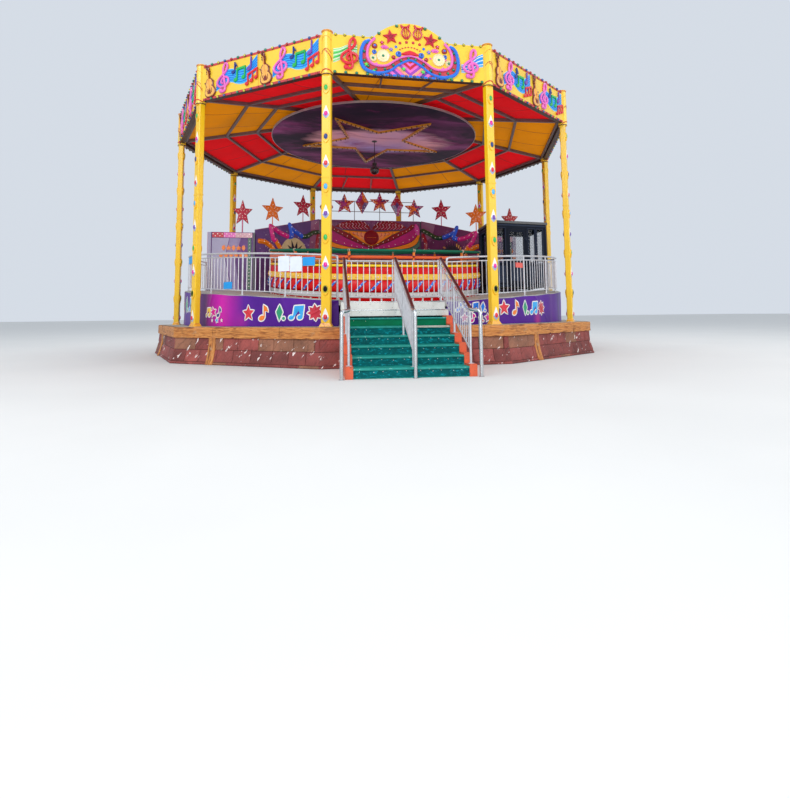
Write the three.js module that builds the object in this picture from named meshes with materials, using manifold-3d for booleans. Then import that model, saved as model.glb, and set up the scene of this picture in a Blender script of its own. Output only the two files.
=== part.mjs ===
// Fairground tagada ride: a tilting, turning bowl under a ten-sided canopy, with a ring deck,
// its stair, railings, painted scenery and an operator's booth, all on a masonry plinth.
// Millimetres, +Z up. The origin is on the ground, on the canopy's axis; the stair is at -Y.

import * as THREE from "three";
import { mergeVertices } from "three/addons/utils/BufferGeometryUtils.js";
import Module from "manifold-3d";

const wasm = await Module();
wasm.setup();

// Fits between touching pieces.
const GAP = 0.3;

// Canopy and plinth plan.
const SIDES = 10;
const SIDE_ANGLE = 360 / SIDES;
const FRONT = -90;
const FIRST_COLUMN = FRONT - SIDE_ANGLE / 2;
const COLUMN_CIRCLE = 6200;
const COLUMN_WIDTH = 208;
const COLUMN_DEPTH = 146;

// Plinth.
const PLINTH_TOP = 850;
const PLINTH_CORNER = 6700;
const PLINTH_BATTER = [[0, 120], [110, 72], [240, 36], [380, 12], [520, 0]];
const BAND_HEIGHT = 250;
const BAND_THICK = 35;
const TIMBER_POST_WIDTH = 215;
const TIMBER_POST_THICK = 50;
const TIMBER_POST_PLACE = 0.29;

// Stair from the ground to the deck, in its own slightly turned frame.
const STAIR_X = -430;
const STAIR_Y = -5880;
const STAIR_TURN = -2.8;
const STAIR_WIDTH = 2340;
const STAIR_MIDDLE = 50;
const CHEEK_WIDTH = 140;
const CHEEK_LIFT = 40;
const TREAD = 360;
const GREEN_RISERS = 6;
const LANDING_Z = PLINTH_TOP + 182;
const GREEN_RISE = LANDING_Z / GREEN_RISERS;
const STEEL_STEP_Z = PLINTH_TOP + 360;

// Ring deck.
const DECK_FRONT_Z = PLINTH_TOP + 545;
const DECK_FLAT_ANGLE = 9;
const DECK_RISE_PER_DEGREE = 6.3;
const DECK_LEVEL_ANGLE = 90;
const DECK_INNER = 3720;
const DECK_OUTER = 5870;
const DECK_THICK = 60;
const DECK_STEP_ANGLE = 9;
const DECK_FRONT_HALF = 18;
const DECK_SIDE_END = 99;
const DECK_REAR_Z = DECK_FRONT_Z + (DECK_LEVEL_ANGLE - DECK_FLAT_ANGLE) * DECK_RISE_PER_DEGREE;
const DECK_NOTCH_DEPTH = 380;
const DECK_BEAM_WIDTH = 80;
const DECK_BEAM_DEPTH = 60;
const DECK_LEGS = 18;
const PIT_WALL_THICK = 40;
const SKIRT_THICK = 6;

// Deck railing and gates.
const RAILING_RADIUS = 5790;
const RAIL_TOP = 1010;
const RAIL_SECOND = 910;
const RAIL_BOTTOM = 110;
const RAIL_SIZE = 46;
const PICKET_SIZE = 22;
const PICKET_PITCH = 620;
const GATE_TOP = 905;
const GATE_LEFT_NEAR = STAIR_MIDDLE - 37;
const GATE_RIGHT_NEAR = STAIR_MIDDLE + 37;
const GATE_FAR = STAIR_WIDTH / 2 - CHEEK_WIDTH / 2 - 37;
const GATE_PIVOT = [GATE_FAR + 7, 90];
const GATE_HINGES = [DECK_FRONT_Z + 200, DECK_FRONT_Z + 780];
const PIN = 6;

// Turning bowl, in the frame of its tilt hinge.
const HINGE_Y = 150;
const HINGE_Z = PLINTH_TOP + 450;
const REST_TILT = 6;
const LUG_X = 1150;
const LUG_THICK = 100;
const PIN_RADIUS = 60;
const HUB_RADIUS = 520;
const SPINDLE_RADIUS = 150;
const HUB_TOP = 640;
const RUNNING_GAP = 6;
const BOWL_SEGMENTS = 36;
const BOWL_FOOT = 500;
const BOWL_FLOOR = 750;
const BOWL_FLOOR_THICK = 60;
const BAND_LOW = 1093;
const BAND_HIGH = 1249;
const WALL_HIGH = 1424;
const WALL_INNER = 3330;
const ROLL_CENTRE = WALL_INNER + 50;
const ROLLS = [[1476, 70], [1588, 50], [1710, 96]];
const ROLL_TOP = 1758;
const RAIL_POSTS = 12;

// Canopy.
const FASCIA_LOW = PLINTH_TOP + 5718;
const FASCIA_HIGH = PLINTH_TOP + 6630;
const SLEEVE_LOW = PLINTH_TOP + 5650;
const SLEEVE_HIGH = PLINTH_TOP + 6700;
const SLEEVE_RADIUS = 120;
const FASCIA_THICK = 120;
const ARCH_HALF = 860;
const ARCH_PEAK = PLINTH_TOP + 7035;
const EAVE_Z = PLINTH_TOP + 5742;
const ROOF_SLOPE = 0.2;
const ROOF_THICK = 30;
const BEAM_DEPTH = 110;
const BEAM_WIDTH = 90;
const PURLIN_PLACES = [4600, 3700];
const DISC_Z = PLINTH_TOP + 6130;
const DISC_RADIUS = 3410;
const DISC_THICK = 60;
const STAR_OUTER = 2520;
const STAR_INNER = 1000;
const STAR_TUBE = 60;

// Scenery and booth, standing on the rear half of the deck.
const SCENERY_Y = 4200;
const SCENERY_LEFT = -1650;
const SCENERY_RIGHT = 2510;
const SCENERY_TOP = PLINTH_TOP + 4130;
const WING_TOP = PLINTH_TOP + 3250;
const WING_LEFT = [-4000, 1500];
const WING_RIGHT = [4250, 1500];
const SCENERY_THICK = 70;
const CABINET_Y = 1520;
const CABINET_DEPTH = 320;
const CABINET_TOP = PLINTH_TOP + 3120;
const POLE_SIZE = 42;
const WING_STAR = [415, 1.13];
const CABINET_STAR = [338, 1.36];
const BOOTH_PLAN = [[3520, -1700], [5430, -1450], [5560, 200], [3730, 200]];
const BOOTH_FLOOR = DECK_REAR_Z + 20;
const BOOTH_TOP = PLINTH_TOP + 3110;
const BOOTH_WALL = 60;
const BOOTH_DOOR_X = 520;
const BOOTH_DOOR_WIDTH = 660;
const BOOTH_DOOR_HEIGHT = 1800;
const BOOTH_SILL = BOOTH_FLOOR + 760;
const BOOTH_HEAD = BOOTH_TOP - 130;

const radians = (degrees) => (degrees * Math.PI) / 180;
const polar = (radius, angle, z = 0) =>
  new THREE.Vector3(radius * Math.cos(radians(angle)), radius * Math.sin(radians(angle)), z);

// A closed three.js geometry as a solid that can be cut and joined.
function solid(geometry) {
  const bare = new THREE.BufferGeometry();
  const source = geometry.index ? geometry.toNonIndexed() : geometry;
  bare.setAttribute("position", source.getAttribute("position"));
  const merged = mergeVertices(bare, 1e-3);
  const triVerts = new Uint32Array(merged.index.array);
  const vertProperties = merged.attributes.position.array;
  const build = () => new wasm.Manifold(new wasm.Mesh({ numProp: 3, vertProperties, triVerts }));
  let made = build();
  if (made.volume() < 0) {
    for (let i = 0; i < triVerts.length; i += 3) {
      [triVerts[i + 1], triVerts[i + 2]] = [triVerts[i + 2], triVerts[i + 1]];
    }
    made = build();
  }
  return made;
}

const join = (parts) => parts.reduce((whole, part) => whole.add(part));

// A box from its lowest to its highest corner.
function box(low, high) {
  const size = high.map((value, i) => value - low[i]);
  const geometry = new THREE.BoxGeometry(...size);
  geometry.translate(...low.map((value, i) => value + size[i] / 2));
  return geometry;
}

// A straight bar of square or many-sided section between two points.
function bar(from, to, size, sides = 4) {
  const along = new THREE.Vector3().subVectors(to, from);
  const radius = sides === 4 ? size / Math.SQRT2 : size / 2;
  const geometry = new THREE.CylinderGeometry(radius, radius, along.length(), sides);
  geometry.rotateY(Math.PI / 4);
  const turn = new THREE.Quaternion().setFromUnitVectors(
    new THREE.Vector3(0, 1, 0),
    along.clone().normalize(),
  );
  geometry.applyQuaternion(turn);
  const middle = new THREE.Vector3().addVectors(from, to).multiplyScalar(0.5);
  geometry.translate(middle.x, middle.y, middle.z);
  return solid(geometry);
}

// A vertical bar that stays square to the plan at a given angle.
function post(radius, angle, width, depth, low, high) {
  const geometry = box([radius - depth / 2, -width / 2, low], [radius + depth / 2, width / 2, high]);
  geometry.rotateZ(radians(angle));
  return solid(geometry);
}

// An upright round bar.
function rod(x, y, radius, low, high, sides = 16) {
  const geometry = new THREE.CylinderGeometry(radius, radius, high - low, sides);
  geometry.rotateX(Math.PI / 2);
  geometry.translate(x, y, (low + high) / 2);
  return solid(geometry);
}

// The fixed half of a hinge: an eye with a short arm that runs to its post.
function hingeEye(x, y, z, arm) {
  const eye = rod(x, y, PIN + 3.5, z - 40, z).add(solid(box(...arm(z - 40, z))));
  return eye.subtract(rod(x, y, PIN + GAP, z - 50, z + 1));
}

// The moving half: a knuckle on the eye, its pin in the eye, and an arm to the leaf.
function hingeKnuckle(x, y, z, arm) {
  const low = z + GAP;
  return join([
    rod(x, y, PIN + 3.5, low, low + 40),
    rod(x, y, PIN, z - 32, low + 10),
    solid(box(...arm(low, low + 40))),
  ]);
}

// A solid of revolution about Z. Profile points are [radius, height] and run round the section.
function turned(profile, segments, closed = true) {
  const points = profile.map(([r, z]) => new THREE.Vector2(r, z));
  if (closed) points.push(points[0].clone());
  const geometry = new THREE.LatheGeometry(points, segments);
  geometry.rotateX(Math.PI / 2);
  return solid(geometry);
}

// An upright prism over a plan outline.
function prism(outline, low, high) {
  const shape = new THREE.Shape(outline.map(([x, y]) => new THREE.Vector2(x, y)));
  const geometry = new THREE.ExtrudeGeometry(shape, { depth: high - low, bevelEnabled: false });
  geometry.translate(0, 0, low);
  return geometry;
}

// The corners of a regular polygon, its first corner at the given angle.
const polygon = (radius, sides, first) =>
  Array.from({ length: sides }, (_, i) => {
    const corner = polar(radius, first + (i * 360) / sides);
    return [corner.x, corner.y];
  });

// Everything round the ring is a polygon with its corners on one grid of angles, so that
// curved pieces lie parallel. This is where such a polygon's edge is at any angle.
function ringPoint(radius, angle, z) {
  const middle = FRONT + (Math.floor((angle - FRONT) / DECK_STEP_ANGLE) + 0.5) * DECK_STEP_ANGLE;
  const flat = radius * Math.cos(radians(DECK_STEP_ANGLE / 2));
  return polar(flat / Math.cos(radians(angle - middle)), angle, z);
}

// A block that follows the ring: its section is a rectangle in radius and height, and its
// lower and upper heights may change with the angle.
function arcBlock(inner, outer, from, to, lowAt, highAt) {
  const angles = [from];
  const first = FRONT + Math.ceil((from - FRONT + 0.05) / DECK_STEP_ANGLE) * DECK_STEP_ANGLE;
  for (let angle = first; angle < to - 0.05; angle += DECK_STEP_ANGLE) angles.push(angle);
  angles.push(to);
  const corners = angles.flatMap((angle) => [
    ringPoint(inner, angle, lowAt(angle)),
    ringPoint(outer, angle, lowAt(angle)),
    ringPoint(outer, angle, highAt(angle)),
    ringPoint(inner, angle, highAt(angle)),
  ]);
  const faces = [0, 1, 2, 0, 2, 3];
  const count = angles.length - 1;
  for (let i = 0; i < count; i++) {
    for (let side = 0; side < 4; side++) {
      const a = i * 4 + side;
      const b = i * 4 + ((side + 1) % 4);
      faces.push(a, a + 4, b, b, a + 4, b + 4);
    }
  }
  const last = count * 4;
  faces.push(last, last + 2, last + 1, last, last + 3, last + 2);
  const geometry = new THREE.BufferGeometry().setFromPoints(corners);
  geometry.setIndex(faces);
  return solid(geometry);
}

// How far an angle lies from the front, to either side, in degrees.
const awayFromFront = (angle) => Math.abs(((((angle - FRONT) % 360) + 540) % 360) - 180);

// The deck is level across the front, climbs along both sides and is level again behind.
function deckHeight(angle) {
  const away = Math.min(awayFromFront(angle), DECK_LEVEL_ANGLE);
  return DECK_FRONT_Z + Math.max(0, away - DECK_FLAT_ANGLE) * DECK_RISE_PER_DEGREE;
}

const group = new THREE.Group();

function addMesh(name, made, colour, roughness, metalness = 0, parent = group) {
  const mesh = made.getMesh();
  const geometry = new THREE.BufferGeometry();
  geometry.setAttribute("position", new THREE.BufferAttribute(mesh.vertProperties, 3));
  geometry.setIndex(new THREE.BufferAttribute(mesh.triVerts, 1));
  geometry.computeVertexNormals();
  const material = new THREE.MeshStandardMaterial({ color: colour, roughness, metalness });
  const node = new THREE.Mesh(geometry, material);
  node.name = name;
  parent.add(node);
  return node;
}

const COLOURS = {
  stone: 0x8a3a30,
  timber: 0x9e5f2a,
  green: 0x0a7a60,
  orangeRed: 0xd8663a,
  steel: 0xa6a8aa,
  handrail: 0x4a2026,
  deck: 0xb9bab6,
  banner: 0x5f1aa0,
  yellow: 0xf6d21e,
  fascia: 0xf7c832,
  roof: 0xd98a00,
  sky: 0x4a2a52,
  black: 0x1c1c1f,
  scenery: 0x6b487a,
  red: 0xd8101c,
  amber: 0xe0a020,
  rail: 0x0f7a5a,
};

// Plinth: a ten-sided masonry mass whose foot curves out, capped by a timber band.
function plinthSolid(grow) {
  const side = PLINTH_CORNER + grow;
  const profile = [
    [0, 0],
    ...PLINTH_BATTER.map(([z, out]) => [side + out, z]),
    [side, PLINTH_TOP + grow],
    [0, PLINTH_TOP + grow],
  ];
  // The lathe starts its first corner on +Y, which is turned to the first column's angle.
  const geometry = turned(profile, SIDES, false);
  return geometry.rotate([0, 0, FIRST_COLUMN - 90]);
}

function bandSolid() {
  const face = PLINTH_CORNER + BAND_THICK;
  const outer = solid(prism(polygon(face, SIDES, FIRST_COLUMN), PLINTH_TOP - BAND_HEIGHT, PLINTH_TOP));
  const parts = [outer];
  const side = 2 * face * Math.sin(radians(SIDE_ANGLE / 2));
  // A post follows each face down to the ground. The front face has none, as the stair stands
  // against it.
  const layer = plinthSolid(TIMBER_POST_THICK);
  for (let k = 1; k < SIDES; k++) {
    const along = (TIMBER_POST_PLACE - 0.5) * side;
    const timber = box(
      [5000, along - TIMBER_POST_WIDTH / 2, 4],
      [8000, along + TIMBER_POST_WIDTH / 2, PLINTH_TOP - 10],
    );
    timber.rotateZ(radians(FIRST_COLUMN + SIDE_ANGLE * (k + 0.5)));
    parts.push(solid(timber).intersect(layer));
  }
  return join(parts).subtract(plinthSolid(GAP));
}

// The stair's own frame: x runs across the lanes, y is 0 at the deck's edge.
const stairPlace = new THREE.Matrix4()
  .makeTranslation(STAIR_X, STAIR_Y, 0)
  .multiply(new THREE.Matrix4().makeRotationZ(radians(STAIR_TURN)));
const onStair = (made) => made.transform(stairPlace.elements);
const stairBox = (low, high) => onStair(solid(box(low, high)));

const flightY = (riser) => -TREAD * (GREEN_RISERS + 1 - riser);
const innerHalf = STAIR_WIDTH / 2 - CHEEK_WIDTH;

function stairPiece(left, right, lift) {
  const steps = [];
  for (let riser = 0; riser < GREEN_RISERS; riser++) {
    const top = GREEN_RISE * (riser + 1) + lift;
    const front = flightY(riser) - (lift ? 30 : 0);
    steps.push(stairBox([left, front, 0], [right, flightY(GREEN_RISERS), Math.min(top, LANDING_Z + lift)]));
  }
  return join(steps).subtract(plinthSolid(GAP)).subtract(bandCut);
}

// The deck steps are folded chequer plate: a riser, a tread, and the landing let into the deck.
function deckSteps() {
  const half = STAIR_WIDTH / 2 - GAP;
  const plate = 40;
  const low = LANDING_Z + CHEEK_LIFT + GAP;
  const parts = [
    stairBox([-half, -TREAD, low], [half, -TREAD + plate, STEEL_STEP_Z]),
    stairBox([-half, -TREAD, STEEL_STEP_Z - plate], [half, plate, STEEL_STEP_Z]),
    stairBox([-half, 0, low], [half, plate, DECK_FRONT_Z]),
    stairBox([-half, 0, DECK_FRONT_Z - plate], [half, DECK_NOTCH_DEPTH, DECK_FRONT_Z]),
  ];
  for (const x of [-half, half - plate]) {
    const foot = PLINTH_TOP + GAP;
    parts.push(stairBox([x, -TREAD + 2, foot], [x + plate, 0, STEEL_STEP_Z]));
    parts.push(stairBox([x, -1, foot], [x + plate, DECK_NOTCH_DEPTH, DECK_FRONT_Z]));
  }
  return join(parts);
}

// Handrails: posts, an inclined capped rail, a thin rail under it, a foot rail and pickets.
function handrail(x, outward) {
  const at = (y, z, shift = 0) => new THREE.Vector3(x + shift, y, z);
  const lowY = -TREAD * GREEN_RISERS - 250;
  const highY = 90;
  const slope = GREEN_RISE / TREAD;
  const railZ = (y) => DECK_FRONT_Z + 950 + slope * Math.min(0, y);
  const parts = [
    bar(at(lowY, railZ(lowY)), at(highY, railZ(0)), 50),
    bar(at(lowY, railZ(lowY) - 110), at(highY, railZ(0) - 110), 30),
    bar(at(lowY, railZ(lowY) - 760), at(highY, railZ(0) - 760), 30),
  ];
  const treadZ = (y) => {
    if (y > 0) return DECK_FRONT_Z;
    if (y > -TREAD) return STEEL_STEP_Z;
    const riser = Math.ceil((y + TREAD * (GREEN_RISERS + 1)) / TREAD);
    return GREEN_RISE * riser + (outward ? CHEEK_LIFT : 0);
  };
  for (const y of [lowY + 30, -1080 - 90, highY - 27]) {
    parts.push(bar(at(y, treadZ(y) + GAP), at(y, railZ(y)), 44));
  }
  for (let y = lowY + 400; y < highY - 120; y += 400) {
    parts.push(bar(at(y, railZ(y) - 770), at(y, railZ(y) - 100), PICKET_SIZE));
  }
  // At the bottom the rail turns forward and down to the ground.
  const reach = outward * 130;
  const elbow = at(lowY - 190, railZ(lowY) - 60, reach);
  parts.push(bar(at(lowY, railZ(lowY)), elbow, 50));
  parts.push(bar(elbow.clone().setZ(elbow.z + 12), elbow.clone().setZ(0), 50));
  // The outer rails' head posts carry the gates.
  if (outward) {
    const [px, py] = [outward * GATE_PIVOT[0], GATE_PIVOT[1]];
    const [near, far] = [px, px + outward * 20].sort((a, b) => a - b);
    for (const z of GATE_HINGES) {
      parts.push(hingeEye(px, py, z, (low, high) => [[near, py - 8, low], [far, py + 8, high]]));
    }
  }
  return onStair(join(parts));
}

const bandOutline = polygon(PLINTH_CORNER + BAND_THICK + GAP, SIDES, FIRST_COLUMN);
const bandCut = solid(prism(bandOutline, PLINTH_TOP - BAND_HEIGHT - 1, PLINTH_TOP + GAP));

// Deck: four sections of a ring plate with an edge beam. The plate's outer edge stands on a
// ring of legs and its inner edge on the wall round the bowl's pit.
const stairWell = stairBox(
  [-STAIR_WIDTH / 2, -600, 0],
  [STAIR_WIDTH / 2, DECK_NOTCH_DEPTH + GAP, 3000],
);

// The thin radial joint between two sections.
function seam(angle) {
  const geometry = box([3000, -GAP / 2, 0], [6500, GAP / 2, 3000]);
  geometry.rotateZ(radians(angle));
  return solid(geometry);
}

const deckUnder = (angle) => deckHeight(angle) - DECK_THICK;
const beamUnder = (angle) => deckUnder(angle) - DECK_BEAM_DEPTH;
const beamInner = DECK_OUTER - DECK_BEAM_WIDTH;

function deckSection(from, to) {
  const plate = arcBlock(DECK_INNER, DECK_OUTER, from, to, deckUnder, deckHeight);
  const beamTop = (angle) => deckUnder(angle) + DECK_THICK / 2;
  const beam = arcBlock(beamInner, DECK_OUTER, from, to, beamUnder, beamTop);
  return plate.add(beam).subtract(stairWell).subtract(seam(from)).subtract(seam(to));
}

// A closed ring, made as two halves.
const fullRing = (inner, outer, lowAt, highAt) =>
  arcBlock(inner, outer, FRONT - 180, FRONT, lowAt, highAt).add(
    arcBlock(inner, outer, FRONT, FRONT + 180, lowAt, highAt),
  );

// The spaces over the beam's underside and under the plate's top, each with the fit, to seat
// what meets the deck.
const beamSpace = fullRing(beamInner, DECK_OUTER, beamUnder, () => 3000).translate([0, 0, -GAP]);
const deckFit = fullRing(DECK_INNER, DECK_OUTER, () => 0, deckHeight).translate([0, 0, GAP]);

// The wall ends a few millimetres under the plate, whose facets slope between its edges.
function pitWall() {
  const inner = DECK_INNER + 20;
  const low = () => PLINTH_TOP + GAP;
  return fullRing(inner, inner + PIT_WALL_THICK, low, (angle) => deckUnder(angle) - 3);
}

// The legs rise from a flat ring that lies on the plinth.
function deckLegs() {
  const radius = beamInner + 22;
  const low = PLINTH_TOP + GAP;
  const parts = [fullRing(radius - 40, radius + 40, () => low, () => low + 12)];
  for (let i = 0; i < DECK_LEGS; i++) {
    const angle = FRONT + ((i + 0.5) * 360) / DECK_LEGS;
    parts.push(post(radius, angle, 70, 40, low, deckHeight(angle)));
  }
  return join(parts).subtract(beamSpace).subtract(stairWell);
}

// Railing: three rails that follow the deck, posts on the deck and pickets between the rails.
function railing(from, to) {
  const rail = (height, size) =>
    arcBlock(
      RAILING_RADIUS - size / 2,
      RAILING_RADIUS + size / 2,
      from,
      to,
      (angle) => deckHeight(angle) + height - size / 2,
      (angle) => deckHeight(angle) + height + size / 2,
    );
  const parts = [rail(RAIL_TOP, RAIL_SIZE), rail(RAIL_SECOND, 30), rail(RAIL_BOTTOM, 30)];
  const pitch = (PICKET_PITCH / RAILING_RADIUS / Math.PI) * 180;
  const count = Math.round((to - from) / pitch);
  for (let i = 0; i <= count; i++) {
    const angle = from + 0.25 + ((to - from - 0.5) * i) / count;
    const foot = deckHeight(angle);
    if (i % 2 === 0 || i === count) {
      parts.push(post(RAILING_RADIUS, angle, 40, 40, foot - 20, foot + RAIL_TOP));
    } else {
      parts.push(
        post(RAILING_RADIUS, angle, PICKET_SIZE, PICKET_SIZE, foot + RAIL_BOTTOM, foot + RAIL_SECOND),
      );
    }
  }
  return join(parts).subtract(deckFit);
}

// Gates: two leaves at the stair head, each hinged on the outer side of its lane.
function gateLeaf(from, to) {
  const y = 60;
  const low = DECK_FRONT_Z + RAIL_BOTTOM;
  const high = DECK_FRONT_Z + GATE_TOP;
  const at = (x, z) => new THREE.Vector3(x, y, z);
  const parts = [
    bar(at(from, high), at(to, high), 40),
    bar(at(from, low), at(to, low), 34),
    bar(at(from + 17, low - 30), at(from + 17, high + 20), 34),
    bar(at(to - 17, low - 30), at(to - 17, high + 20), 34),
  ];
  const pickets = 6;
  for (let i = 1; i <= pickets; i++) {
    const x = from + ((to - from) * i) / (pickets + 1);
    parts.push(bar(at(x, low), at(x, high), PICKET_SIZE));
  }
  const side = Math.sign(from + to);
  const [px, py] = [side * GATE_PIVOT[0], GATE_PIVOT[1]];
  const [near, far] = [px, px - side * 30].sort((a, b) => a - b);
  for (const z of GATE_HINGES) {
    const arm = (bottom, top) => [[near, py - 20, bottom], [far, py + 4, top]];
    parts.push(hingeKnuckle(px, py, z, arm));
  }
  return onStair(join(parts));
}

// Support and bowl. Everything above the hinge is made in the hinge's frame and tilted at rest.
const tilt = new THREE.Matrix4()
  .makeTranslation(0, HINGE_Y, HINGE_Z)
  .multiply(new THREE.Matrix4().makeRotationX(radians(REST_TILT)));
const tilted = (made) => made.transform(tilt.elements);

function pinAlongX(radius, from, to) {
  const geometry = new THREE.CylinderGeometry(radius, radius, to - from, 32);
  geometry.rotateZ(Math.PI / 2);
  geometry.translate((from + to) / 2, 0, 0);
  return solid(geometry);
}

function pedestal() {
  const low = PLINTH_TOP + GAP;
  const parts = [solid(box([-1400, HINGE_Y - 700, low], [1400, HINGE_Y + 700, low + 80]))];
  for (const side of [-1, 1]) {
    const x = side * LUG_X;
    parts.push(
      solid(
        box(
          [x - LUG_THICK / 2, HINGE_Y - 260, low + 40],
          [x + LUG_THICK / 2, HINGE_Y + 260, HINGE_Z + 130],
        ),
      ),
    );
  }
  const bore = pinAlongX(PIN_RADIUS + 0.5, -1400, 1400).translate([0, HINGE_Y, HINGE_Z]);
  return join(parts).subtract(bore);
}

function tiltFrame() {
  const inside = LUG_X - LUG_THICK / 2 - 6;
  const parts = [
    solid(box([-inside, -220, -120], [inside, 220, 150])),
    pinAlongX(PIN_RADIUS, -LUG_X - LUG_THICK / 2 - 40, LUG_X + LUG_THICK / 2 + 40),
    turned([[0, 100], [HUB_RADIUS, 100], [HUB_RADIUS, HUB_TOP], [0, HUB_TOP]], 24, false),
    turned([[0, 500], [SPINDLE_RADIUS, 500], [SPINDLE_RADIUS, 700], [0, 700]], 48, false),
  ];
  return tilted(join(parts));
}

// The floor is a disc that turns on the hub, with the drum's lower half hung under its edge.
function bowlFloor() {
  const profile = [
    [0, HUB_TOP + RUNNING_GAP],
    [HUB_RADIUS, HUB_TOP + RUNNING_GAP],
    [HUB_RADIUS, BOWL_FLOOR - BOWL_FLOOR_THICK],
    [3290, BOWL_FLOOR - BOWL_FLOOR_THICK],
    [3290, BOWL_FOOT],
    [3370, BOWL_FOOT],
    [3400, BOWL_FOOT + 210],
    [3405, BOWL_FLOOR],
    [0, BOWL_FLOOR],
  ];
  const bore = SPINDLE_RADIUS + 0.5;
  const socket = turned([[0, 600], [bore, 600], [bore, 706], [0, 706]], 48, false);
  return tilted(turned(profile, BOWL_SEGMENTS, false).subtract(socket));
}

// The bulging band of the drum that stands on the floor's edge.
function bowlDrum() {
  const profile = [
    [WALL_INNER, BOWL_FLOOR + GAP],
    [3405, BOWL_FLOOR + GAP],
    [3450, BOWL_FLOOR + 90],
    [3450, BOWL_FLOOR + 180],
    [3400, BAND_LOW],
    [WALL_INNER, BAND_LOW],
  ];
  return tilted(turned(profile, BOWL_SEGMENTS));
}

function bowlRing(inner, outer, low, high) {
  return tilted(turned([[inner, low], [outer, low], [outer, high], [inner, high]], BOWL_SEGMENTS));
}

function bowlBench() {
  const outer = WALL_INNER - GAP;
  const profile = [
    [2850, BOWL_FLOOR + GAP],
    [outer, BOWL_FLOOR + GAP],
    [outer, 1500],
    [outer - 110, 1500],
    [outer - 150, 1180],
    [2830, 1180],
  ];
  return tilted(turned(profile, BOWL_SEGMENTS));
}

// Padded back rolls on short posts, and above them the grab rail on its own posts.
function ringTube(radius, height, size) {
  const half = size / 2;
  const section = [[-half, -half], [half, -half], [half, half], [-half, half]];
  return turned(section.map(([x, y]) => [radius + x, height + y]), BOWL_SEGMENTS);
}

function bowlRolls() {
  const parts = ROLLS.map(([height, size]) => ringTube(ROLL_CENTRE, height, size));
  for (let i = 0; i < RAIL_POSTS; i++) {
    const angle = FRONT + 10 + (i * 360) / RAIL_POSTS;
    parts.push(post(ROLL_CENTRE, angle, 50, 40, WALL_HIGH + GAP, ROLL_TOP - 20));
  }
  return tilted(join(parts));
}

function bowlGrabRail() {
  const parts = [ringTube(ROLL_CENTRE + 40, 1896, 76)];
  for (let i = 0; i < RAIL_POSTS; i++) {
    const angle = FRONT + 10 + (i * 360) / RAIL_POSTS;
    parts.push(post(ROLL_CENTRE + 18, angle, 56, 60, ROLL_TOP + GAP, 1900));
  }
  return tilted(join(parts));
}

// Columns: box section, its wide faces outwards, with a low flared foot and a splice ring.
function column() {
  const cut = 14;
  const outline = (grow) => {
    const x = COLUMN_DEPTH / 2 + grow;
    const y = COLUMN_WIDTH / 2 + grow;
    return [
      [x, -y + cut], [x, y - cut], [x - cut, y], [-x + cut, y],
      [-x, y - cut], [-x, -y + cut], [-x + cut, -y], [x - cut, -y],
    ];
  };
  const low = PLINTH_TOP + GAP;
  const foot = new THREE.CylinderGeometry(Math.SQRT1_2, 1.38 * Math.SQRT1_2, 75, 4);
  foot.rotateY(Math.PI / 4);
  foot.rotateX(Math.PI / 2);
  foot.scale(COLUMN_DEPTH, COLUMN_WIDTH, 1);
  foot.translate(0, 0, low + 37.5);
  return join([
    solid(prism(outline(0), low, SLEEVE_LOW - GAP)),
    solid(foot),
    solid(prism(outline(8), PLINTH_TOP + 3290, PLINTH_TOP + 3325)),
  ]);
}

// Fascia: panels between round corner sleeves that stand on the columns.
const columnAngle = (k) => FIRST_COLUMN + SIDE_ANGLE * k;
const panelAngle = (k) => columnAngle(k) + SIDE_ANGLE / 2;

function sleeve(k, grow = 0) {
  const radius = SLEEVE_RADIUS;
  const profile = [
    [0, SLEEVE_LOW - grow],
    [radius + grow, SLEEVE_LOW - grow],
    [radius + grow, SLEEVE_HIGH - 30],
    [radius + 8 + grow, SLEEVE_HIGH - 30],
    [radius + 8 + grow, SLEEVE_HIGH + grow],
    [0, SLEEVE_HIGH + grow],
  ];
  const centre = polar(COLUMN_CIRCLE, columnAngle(k));
  return turned(profile, 12, false).translate([centre.x, centre.y, 0]);
}

function fasciaPanel(k, arched = false) {
  const apothem = COLUMN_CIRCLE * Math.cos(radians(SIDE_ANGLE / 2));
  const half = COLUMN_CIRCLE * Math.sin(radians(SIDE_ANGLE / 2)) - SLEEVE_RADIUS + 30;
  const shape = new THREE.Shape();
  shape.moveTo(-half, FASCIA_LOW);
  shape.lineTo(half, FASCIA_LOW);
  shape.lineTo(half, FASCIA_HIGH);
  if (arched) {
    const rise = ARCH_PEAK - FASCIA_HIGH;
    const radius = (ARCH_HALF ** 2 + rise ** 2) / (2 * rise);
    const half_angle = Math.asin(ARCH_HALF / radius);
    const steps = 16;
    for (let i = 0; i <= steps; i++) {
      const a = half_angle * (1 - (2 * i) / steps);
      shape.lineTo(radius * Math.sin(a), ARCH_PEAK - radius + radius * Math.cos(a));
    }
  }
  shape.lineTo(-half, FASCIA_HIGH);
  const geometry = new THREE.ExtrudeGeometry(shape, { depth: FASCIA_THICK, bevelEnabled: false });
  geometry.translate(0, 0, -FASCIA_THICK / 2);
  geometry.rotateX(Math.PI / 2);
  geometry.translate(0, -apothem, 0);
  geometry.rotateZ(radians(panelAngle(k) - FRONT));
  return solid(geometry);
}

function fasciaGroup(panels, sleeves) {
  const parts = panels.map((k) => fasciaPanel(k)).concat(sleeves.map((k) => sleeve(k)));
  const others = panels
    .flatMap((k) => [k, (k + 1) % SIDES])
    .filter((k) => !sleeves.includes(k))
    .map((k) => sleeve(k, GAP));
  return others.reduce((whole, cut) => whole.subtract(cut), join(parts));
}

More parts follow.
